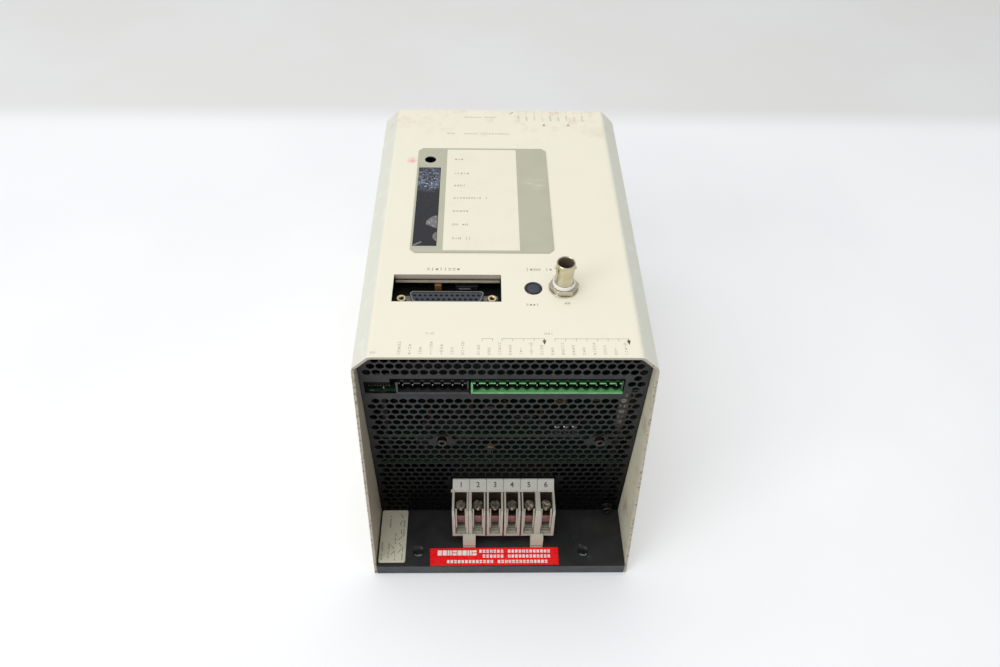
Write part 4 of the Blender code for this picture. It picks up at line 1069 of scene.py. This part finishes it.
def make_selector():
    """The four-way selector: its body and sliders, the marks on top, its legs and the glints beside it."""
    soften_node("dip_switch_body", "maroon", 0.15)
    low, high = box_mm("dip_switch_body")
    x = middle("dip_switch_body").x
    marks, legs, specks = Draft(), Draft(), Draft()
    for i in range(4):
        soften_node(f"dip_slider_{i + 1}", "white", 0.15)
        marks.block(x + (i - 1.5) * 2.54, low.y + 0.55, 1.0, 0.3, high.z, high.z + 0.04)
    marks.piece("dip_marks", "white_ink", "black_plastic")
    for i in range(8):
        legs.block(x + (i - 3.5) * 1.5, low.y - 0.26, 0.9, 0.48, low.z + 0.9, low.z + 1.6)
    legs.piece("dip_legs", "shell", "zinc", bevel=0.1)
    # Painted highlights: small white bits beside the selector stand in for glints.
    specks.rod((x + 2.3, low.y - 0.9, low.z + 0.4), 0.35, 0.9, 12, tip=0.2)
    specks.block(x - 3.8, -98.33, 2.4, 0.06, 124.4, 124.7)
    specks.piece("dip_glints", "white_ink", "zinc", bevel=0.05)


# ---- terminals and base

POLES = 6
MARKER_LOW, MARKER_HIGH = box_mm("marker_strip")
POLE_PITCH = (MARKER_HIGH.x - MARKER_LOW.x) / POLES
POLE_X = [MARKER_LOW.x + (i + 0.5) * POLE_PITCH for i in range(POLES)]


def make_marker_strip():
    """The rail over the terminals, with a leaning tile and a number for each pole."""
    left, right, foot, top = MARKER_LOW.x, MARKER_HIGH.x, MARKER_LOW.z, MARKER_HIGH.z
    back = -101.9
    rail = Draft()
    rail.prism([(-107.9, foot), (-107.9, foot + 0.9), (-106.9, foot + 1.1), (-106.9, foot)], left, right, "X")
    rail.box((left, -106.8, foot), (right, back, foot + 0.5))
    rail.box((left - 0.9, -108.1, foot + 0.1), (left + 1.2, -106.6, foot + 1.3))
    rail.piece("marker_rail", "marker", "beige_plastic", bevel=0.15, stands_for=["marker_strip"])
    near, far, lip = -107.2, -102.8, foot + 1.35
    side = [(near, foot + 0.62), (near, lip), (far, top), (back, top), (back, foot + 0.62)]
    tiles = Draft()
    for x in POLE_X:
        tiles.prism(side, x - POLE_PITCH / 2 + 0.07, x + POLE_PITCH / 2 - 0.07, "X")
    tiles.piece("marker_tiles", "marker", "beige_plastic", bevel=0.22, segments=2)
    for i, x in enumerate(POLE_X):
        name = f"marker_number_{i + 1}"
        text = bpy.data.curves.new(name, "FONT")
        text.body = str(i + 1)
        text.size = 4.3 * MM
        text.extrude = 0.03 * MM
        text.offset = 0.07 * MM
        text.align_x = text.align_y = "CENTER"
        mesh = mesh_of(text)
        mesh.materials.clear()
        mesh.materials.append(LOOKS["dark_ink"])
        number = new_object(name, mesh)
        number.location = Vector((x, (near + far) / 2 - 0.03, (lip + top) / 2 + 0.04)) * MM
        number.rotation_euler = (math.atan2(top - lip, far - near), 0, 0)
        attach(number, ROOT)


def make_terminals():
    for side in ("left", "middle", "right"):
        soften_node("terminal_block_" + side, "beige", 0.28, 2)
    make_marker_strip()
    ribs, cheeks = Draft(), Draft()
    cheek = [(-118.1, 40.0), (-118.9, 40.0), (-120.4, 37.4), (-121.9, 26.5), (-120.6, 21.4), (-118.1, 21.4)]
    for x in POLE_X:
        for y, z in ((-118.6, 19.9), (-120.2, 19.6), (-121.8, 19.3)):
            ribs.block(x, y, 5.0, 0.44, z - 0.3, z + 0.35)
        for side in (-1, 1):
            cheeks.prism(cheek, *sorted((x + side * 2.3, x + side * 3.25)), "X")
    ribs.piece("channel_ribs", "rib", "beige_plastic", bevel=0.1)
    cheeks.piece("channel_cheeks", "cheek", "beige_plastic", bevel=0.38, segments=3)
    for number in range(1, POLES + 1):
        soften_node(f"wire_clamp_{number}", "clamp", 0.25, 2)
        make_terminal_screw(number)
    soften_node("din_rail", "zinc", 0.1)


def make_terminal_screw(number):
    """A cheese-head screw with a driver slot, above its clamp."""
    name = f"terminal_screw_{number}"
    low, high = box_mm(name)
    x, y, _ = middle(name)
    radius = (high.x - low.x) / 2
    half_slot, slot_depth, head, steps = 0.42, 1.25, 2.8, 14
    top = high.z
    screw = Draft()
    slot_turn = math.radians(25 + 23 * number)
    start = math.asin(half_slot / radius)
    for half in (0, math.pi):
        outline = []
        for i in range(steps + 1):
            turn = slot_turn + half + start + (math.pi - 2 * start) * i / steps
            outline.append((x + radius * math.cos(turn), y + radius * math.sin(turn)))
        screw.prism(outline, top - slot_depth, top, "Z")
    screw.rod((x, y, top - (slot_depth + head) / 2), radius, head - slot_depth, 32)
    screw.rod((x, y, (top - head + low.z) / 2), 1.3, top - head - low.z, 20)
    how = {"body": f"screw_{number}", "stands_for": [name]}
    screw.piece(f"slotted_screw_{number}", "screw_steel", "zinc", bevel=0.18, **how)


def make_labels():
    """The red label and the data label on the base plate, with marks that spell nothing."""
    top = PLATE + 0.15
    red = Draft()
    corners = [(-41.6, -138.2), (34.15, -137.6), (34.2, -126.4), (-42.3, -127.0)]
    red.prism(corners, PLATE + 0.01, PLATE + 0.16, "Z")
    red.piece("red_label", "red", "black_paint", bevel=0.05, segments=1)
    rng = random.Random(21)
    bars = Draft()
    for i in range(8):
        glyph(bars, -37.6 + 2.95 * i, -131.6, 3.5, SOLID[i % 4], z=top)
    rows = ((-12.9, -129.9, 43.0, 7), (-10.8, -133.1, 40.8, 6), (-31.9, -136.5, 62.0, 13))
    for x, y, length, space in rows:
        words(bars, x, y, length, 2.1, rng, z=top, space=space, kinds=SOLID)
    bars.piece("red_label_marks", "white_ink", "black_paint")
    paper = Draft()
    paper.prism(chamfered(-72.4, -56.7, -136.0, -101.4, 0.7), PLATE + 0.01, PLATE + 0.13, "Z")
    paper.piece("data_label", "paper", "black_paint", bevel=0.04, segments=1)
    top = PLATE + 0.12
    strokes = Draft()
    print_lines = (
        (-58.2, 9, -134), (-58.2, 12, -119), (-62.6, 7, -134.6), (-62.8, 8, -124),
        (-66.4, 11, -133.6), (-66.6, 9, -113), (-70.4, 12, -134),
    )
    for column, (x, length, y) in enumerate(print_lines):
        words(strokes, x, y, length, 1.0, rng, ALONG_Y, z=top, space=4 + column % 3)
    for x, y, length, turn in (
        (-60.4, -128.5, 3.4, 60), (-60.2, -124.6, 3.0, 120), (-60.6, -120.4, 3.2, 45),
        (-60.0, -116.2, 2.8, 100), (-60.6, -110.0, 3.4, 70), (-60.2, -105.6, 3.0, 115),
        (-64.4, -129.8, 3.0, 50), (-64.6, -126.0, 2.6, 130),
    ):
        strokes.box((x - length / 2, y - 0.16, top + 0.01), (x + length / 2, y + 0.16, top + 0.05), turn)
    strokes.piece("data_label_marks", "dark_ink", "black_paint")


def make_grille_screws():
    """M3 cap screws with hexagon recesses, on flat washers. Each is drawn upright, then laid facing out."""
    recess, edge, seat, top = 1.35, 2.75, 0.55, 3.5
    for name in ("grille_screw_left", "grille_screw_right", "grille_foot_screw"):
        head, socket, washer = Draft(), Draft(), Draft()
        profile = [(recess + 0.1, top - 0.15), (recess + 0.3, top), (2.35, top)]
        profile += [(edge, top - 0.4), (edge, seat), (recess + 0.1, seat)]
        head.lathe(profile, steps=36)
        head.rod((0, 0, -0.75), 1.35, 3.3, 20)
        outer = recess + 0.14
        socket.lathe([(recess, top - 0.1), (outer, top - 0.1), (outer, 0.6), (recess, 0.6)], steps=6)
        socket.rod((0, 0, 1.3), recess + 0.1, 1.2, 6)
        washer.lathe([(1.5, 0.48), (3.3, 0.48), (3.5, 0.34), (3.5, 0), (1.5, 0)], steps=40)
        x, _, z = middle(name)
        place = Matrix.Translation((x, box_mm(name)[0].y + top, z)) @ turned(90, "X")
        for draft in (head, socket, washer):
            draft.change(place)
        head.piece(name + "_head", "black_steel", "black_screw", smooth=40, stands_for=[name])
        socket.piece(name + "_recess", "black_steel", "black_screw", bevel=0.05)
        washer.piece(name + "_washer", "black_steel", "black_screw", smooth=40)


def make_blocks(name, look, floor, rows, **how):
    """Upright boxes on a board: each row is x, y, width, depth and height."""
    draft = Draft()
    for x, y, width, depth, height in rows:
        draft.block(x, y, width, depth, floor + 0.3, floor + height)
    draft.piece(name, look, "black_plastic", **how)


def make_board_parts():
    """The parts on the boards that show through the front vents, or stop the view of the rear ones."""
    drive = box_mm("drive_board")[1].z
    power = box_mm("power_board")[1].z
    control_low, control_high = (corner.z for corner in box_mm("control_board"))
    rng = random.Random(8)
    cans, tops = Draft(), Draft()
    for x in (29.7, 34.6, 39.4):
        centre = (x, -96.0, drive)
        cans.lathe([(0, 7.4), (2.2, 7.4), (2.2, 0.2), (0, 0.2)], centre, 24, closed=False)
        tops.lathe([(0, 7.75), (1.9, 7.75), (2.2, 7.5), (0, 7.42)], centre, 24, closed=False)
    cans.piece("small_capacitors", "sleeve", "capacitor_sleeve", smooth=40)
    tops.piece("small_capacitor_tops", "steel", "zinc", smooth=40)
    chips = ((-52, -90, 12, 6, 3.4), (-30, -88, 16, 7, 3.4), (-8, -90, 10, 6, 3.4), (12, -84, 14, 7, 3.4))
    make_blocks("drive_chips", "black", drive, (*chips, (50, -88, 12, 6, 3.4)), bevel=0.4)
    film_caps = ((-42, -92, 5, 3, 5.5), (22, -92, 4, 3, 5.5))
    make_blocks("drive_film_caps", "dull_brown", drive, film_caps, bevel=0.4)
    bead, legs = Draft(), Draft()
    bead.rod((-6.6, -94.2, 67.2), 2.2, 2.2, 28, "Y")
    bead.piece("power_bead_cap", "tan", "black_plastic", bevel=0.7, segments=3, smooth=40)
    for x in (-7.9, -5.3):
        legs.rod((x, -94.2, (power + 66.4) / 2), 0.3, 66.4 - power, 10)
    legs.piece("power_bead_legs", "shell", "zinc", smooth=40)
    resistors = Draft()
    for i in range(12):
        x = -60 + 10.5 * i + rng.uniform(-2, 2)
        resistors.rod((x, -80 + rng.uniform(-6, 6), drive + 1.4), 1.1, 6.5, 14, "X" if i % 2 else "Y")
    resistors.piece("drive_resistors", "brown", "black_plastic", bevel=0.35, smooth=40)
    stands = ((-45, -88, 9, 4.6, 16), (-22, -86, 8, 4.6, 14), (44, -84, 12, 4.6, 18), (58, -90, 7, 4.6, 12))
    make_blocks("power_transistors", "black", power, stands, bevel=0.4)
    cans = Draft()
    for x in (-12, 6, 24):
        cans.lathe([(0, 18), (4.6, 18), (5.1, 17.4), (5.1, 0.3), (0, 0.3)], (x, -82, power), 28, closed=False)
    cans.piece("power_capacitors", "sleeve", "capacitor_sleeve", smooth=40)
    relays = ((-47, 80, 26, 9, 20), (-22, 82, 12, 12, 21), (-6, 78, 9, 9, 14))
    make_blocks("control_relays", "black", control_high, relays, bevel=0.6, segments=3)
    solder = Draft()
    for i in range(14):
        solder.rod((-64 + 9.6 * i, -92 + 3 * (i % 3), control_low - 1.0), 0.55, 1.6, 10)
    solder.piece("control_solder", "shell", "zinc", smooth=40)


def dress_nodes():
    """The CAD nodes that stay in view get their materials and soft edges."""
    soften_node("cover", "cover", 0.18, 2)
    smooth_bends(nodes["cover"])
    soften_node("base_plate", "base", 0.3, 2)
    for name in ("control_board", "drive_board", "power_board"):
        soften_node(name, "board", 0.1, 1)
    soften_node("face_board", "dark_board")
    for end in ("front", "rear"):
        for side in ("left", "right"):
            soften_node(f"standoff_{end}_{side}", "pillar", 0.2)
            soften_node(f"cover_screw_{end}_{side}", "zinc")
    soften_node("power_module", "black", 0.5)
    soften_node("bus_capacitor", "sleeve")


# ---- stage

# The camera's place and lens are in millimetres, and its angles in degrees.
TABLE_HALF = 4000
CAMERA_PLACE = (-11.69, -354.01, 449.24)
CAMERA_YAW, CAMERA_PITCH, CAMERA_ROLL = 1.930, 47.700, -1.584
LENS, SENSOR = 28.802, 36


def make_stage():
    """The table that the drive stands on."""
    table = Draft()
    bmesh.ops.create_grid(table.work, x_segments=8, y_segments=8, size=TABLE_HALF)
    table.change(Matrix.Scale(MM, 4))
    mesh = bpy.data.meshes.new("table")
    table.work.to_mesh(mesh)
    table.work.free()
    mesh.materials.append(floor_look())
    obj = new_object("table", mesh)
    obj.location.z = -0.1 * MM


def area_light(name, place, target, size, power):
    """A soft rectangular panel that faces a target."""
    light = bpy.data.lights.new(name, "AREA")
    light.shape = "RECTANGLE"
    light.size, light.size_y = size
    light.energy = power
    obj = new_object(name, light)
    obj.location = place
    obj.rotation_euler = (Vector(target) - Vector(place)).to_track_quat("-Z", "Y").to_euler()


def make_light():
    """Soft studio light: a pale sky, a large panel overhead and a smaller one from the left front. Metres."""
    world = bpy.data.worlds.new("studio")
    world.use_nodes = True
    sky = world.node_tree.nodes["Background"].inputs
    sky["Color"].default_value = (0.98, 0.99, 1.0, 1)
    sky["Strength"].default_value = 0.52
    bpy.context.scene.world = world
    area_light("overhead", (-0.25, -0.1, 1.9), (0, 0, 0.1), (2.2, 2.0), 20)
    area_light("left_front", (-1.6, -1.2, 1.3), (0, 0, 0.08), (1.2, 1.2), 13)
    bpy.context.scene.view_settings.view_transform = "Standard"


def make_camera():
    """A view steeply down from in front, a little to the left of the middle."""
    data = bpy.data.cameras.new("camera")
    data.sensor_width = SENSOR
    data.lens = LENS
    data.clip_start = 0.01
    camera = new_object("camera", data)
    turn = turned(-CAMERA_YAW, "Z") @ turned(90 - CAMERA_PITCH, "X") @ turned(-CAMERA_ROLL, "Z")
    camera.matrix_world = Matrix.Translation(Vector(CAMERA_PLACE) * MM) @ turn
    bpy.context.scene.camera = camera


make_stage()
make_light()
make_camera()
dress_nodes()
make_grilles()
make_face_print()
make_overlay()
make_status_window()
make_bnc()
make_programmer_socket()
make_opening_parts()
make_reset()
make_header("black_header", 7, 1, "header_black", "black_plastic")
make_header("green_header", 15, 1, "green", "green_plastic")
make_header("rear_header", 9, -1, "rear_green", "green_plastic")
make_selector()
make_terminals()
make_labels()
make_grille_screws()
make_board_parts()
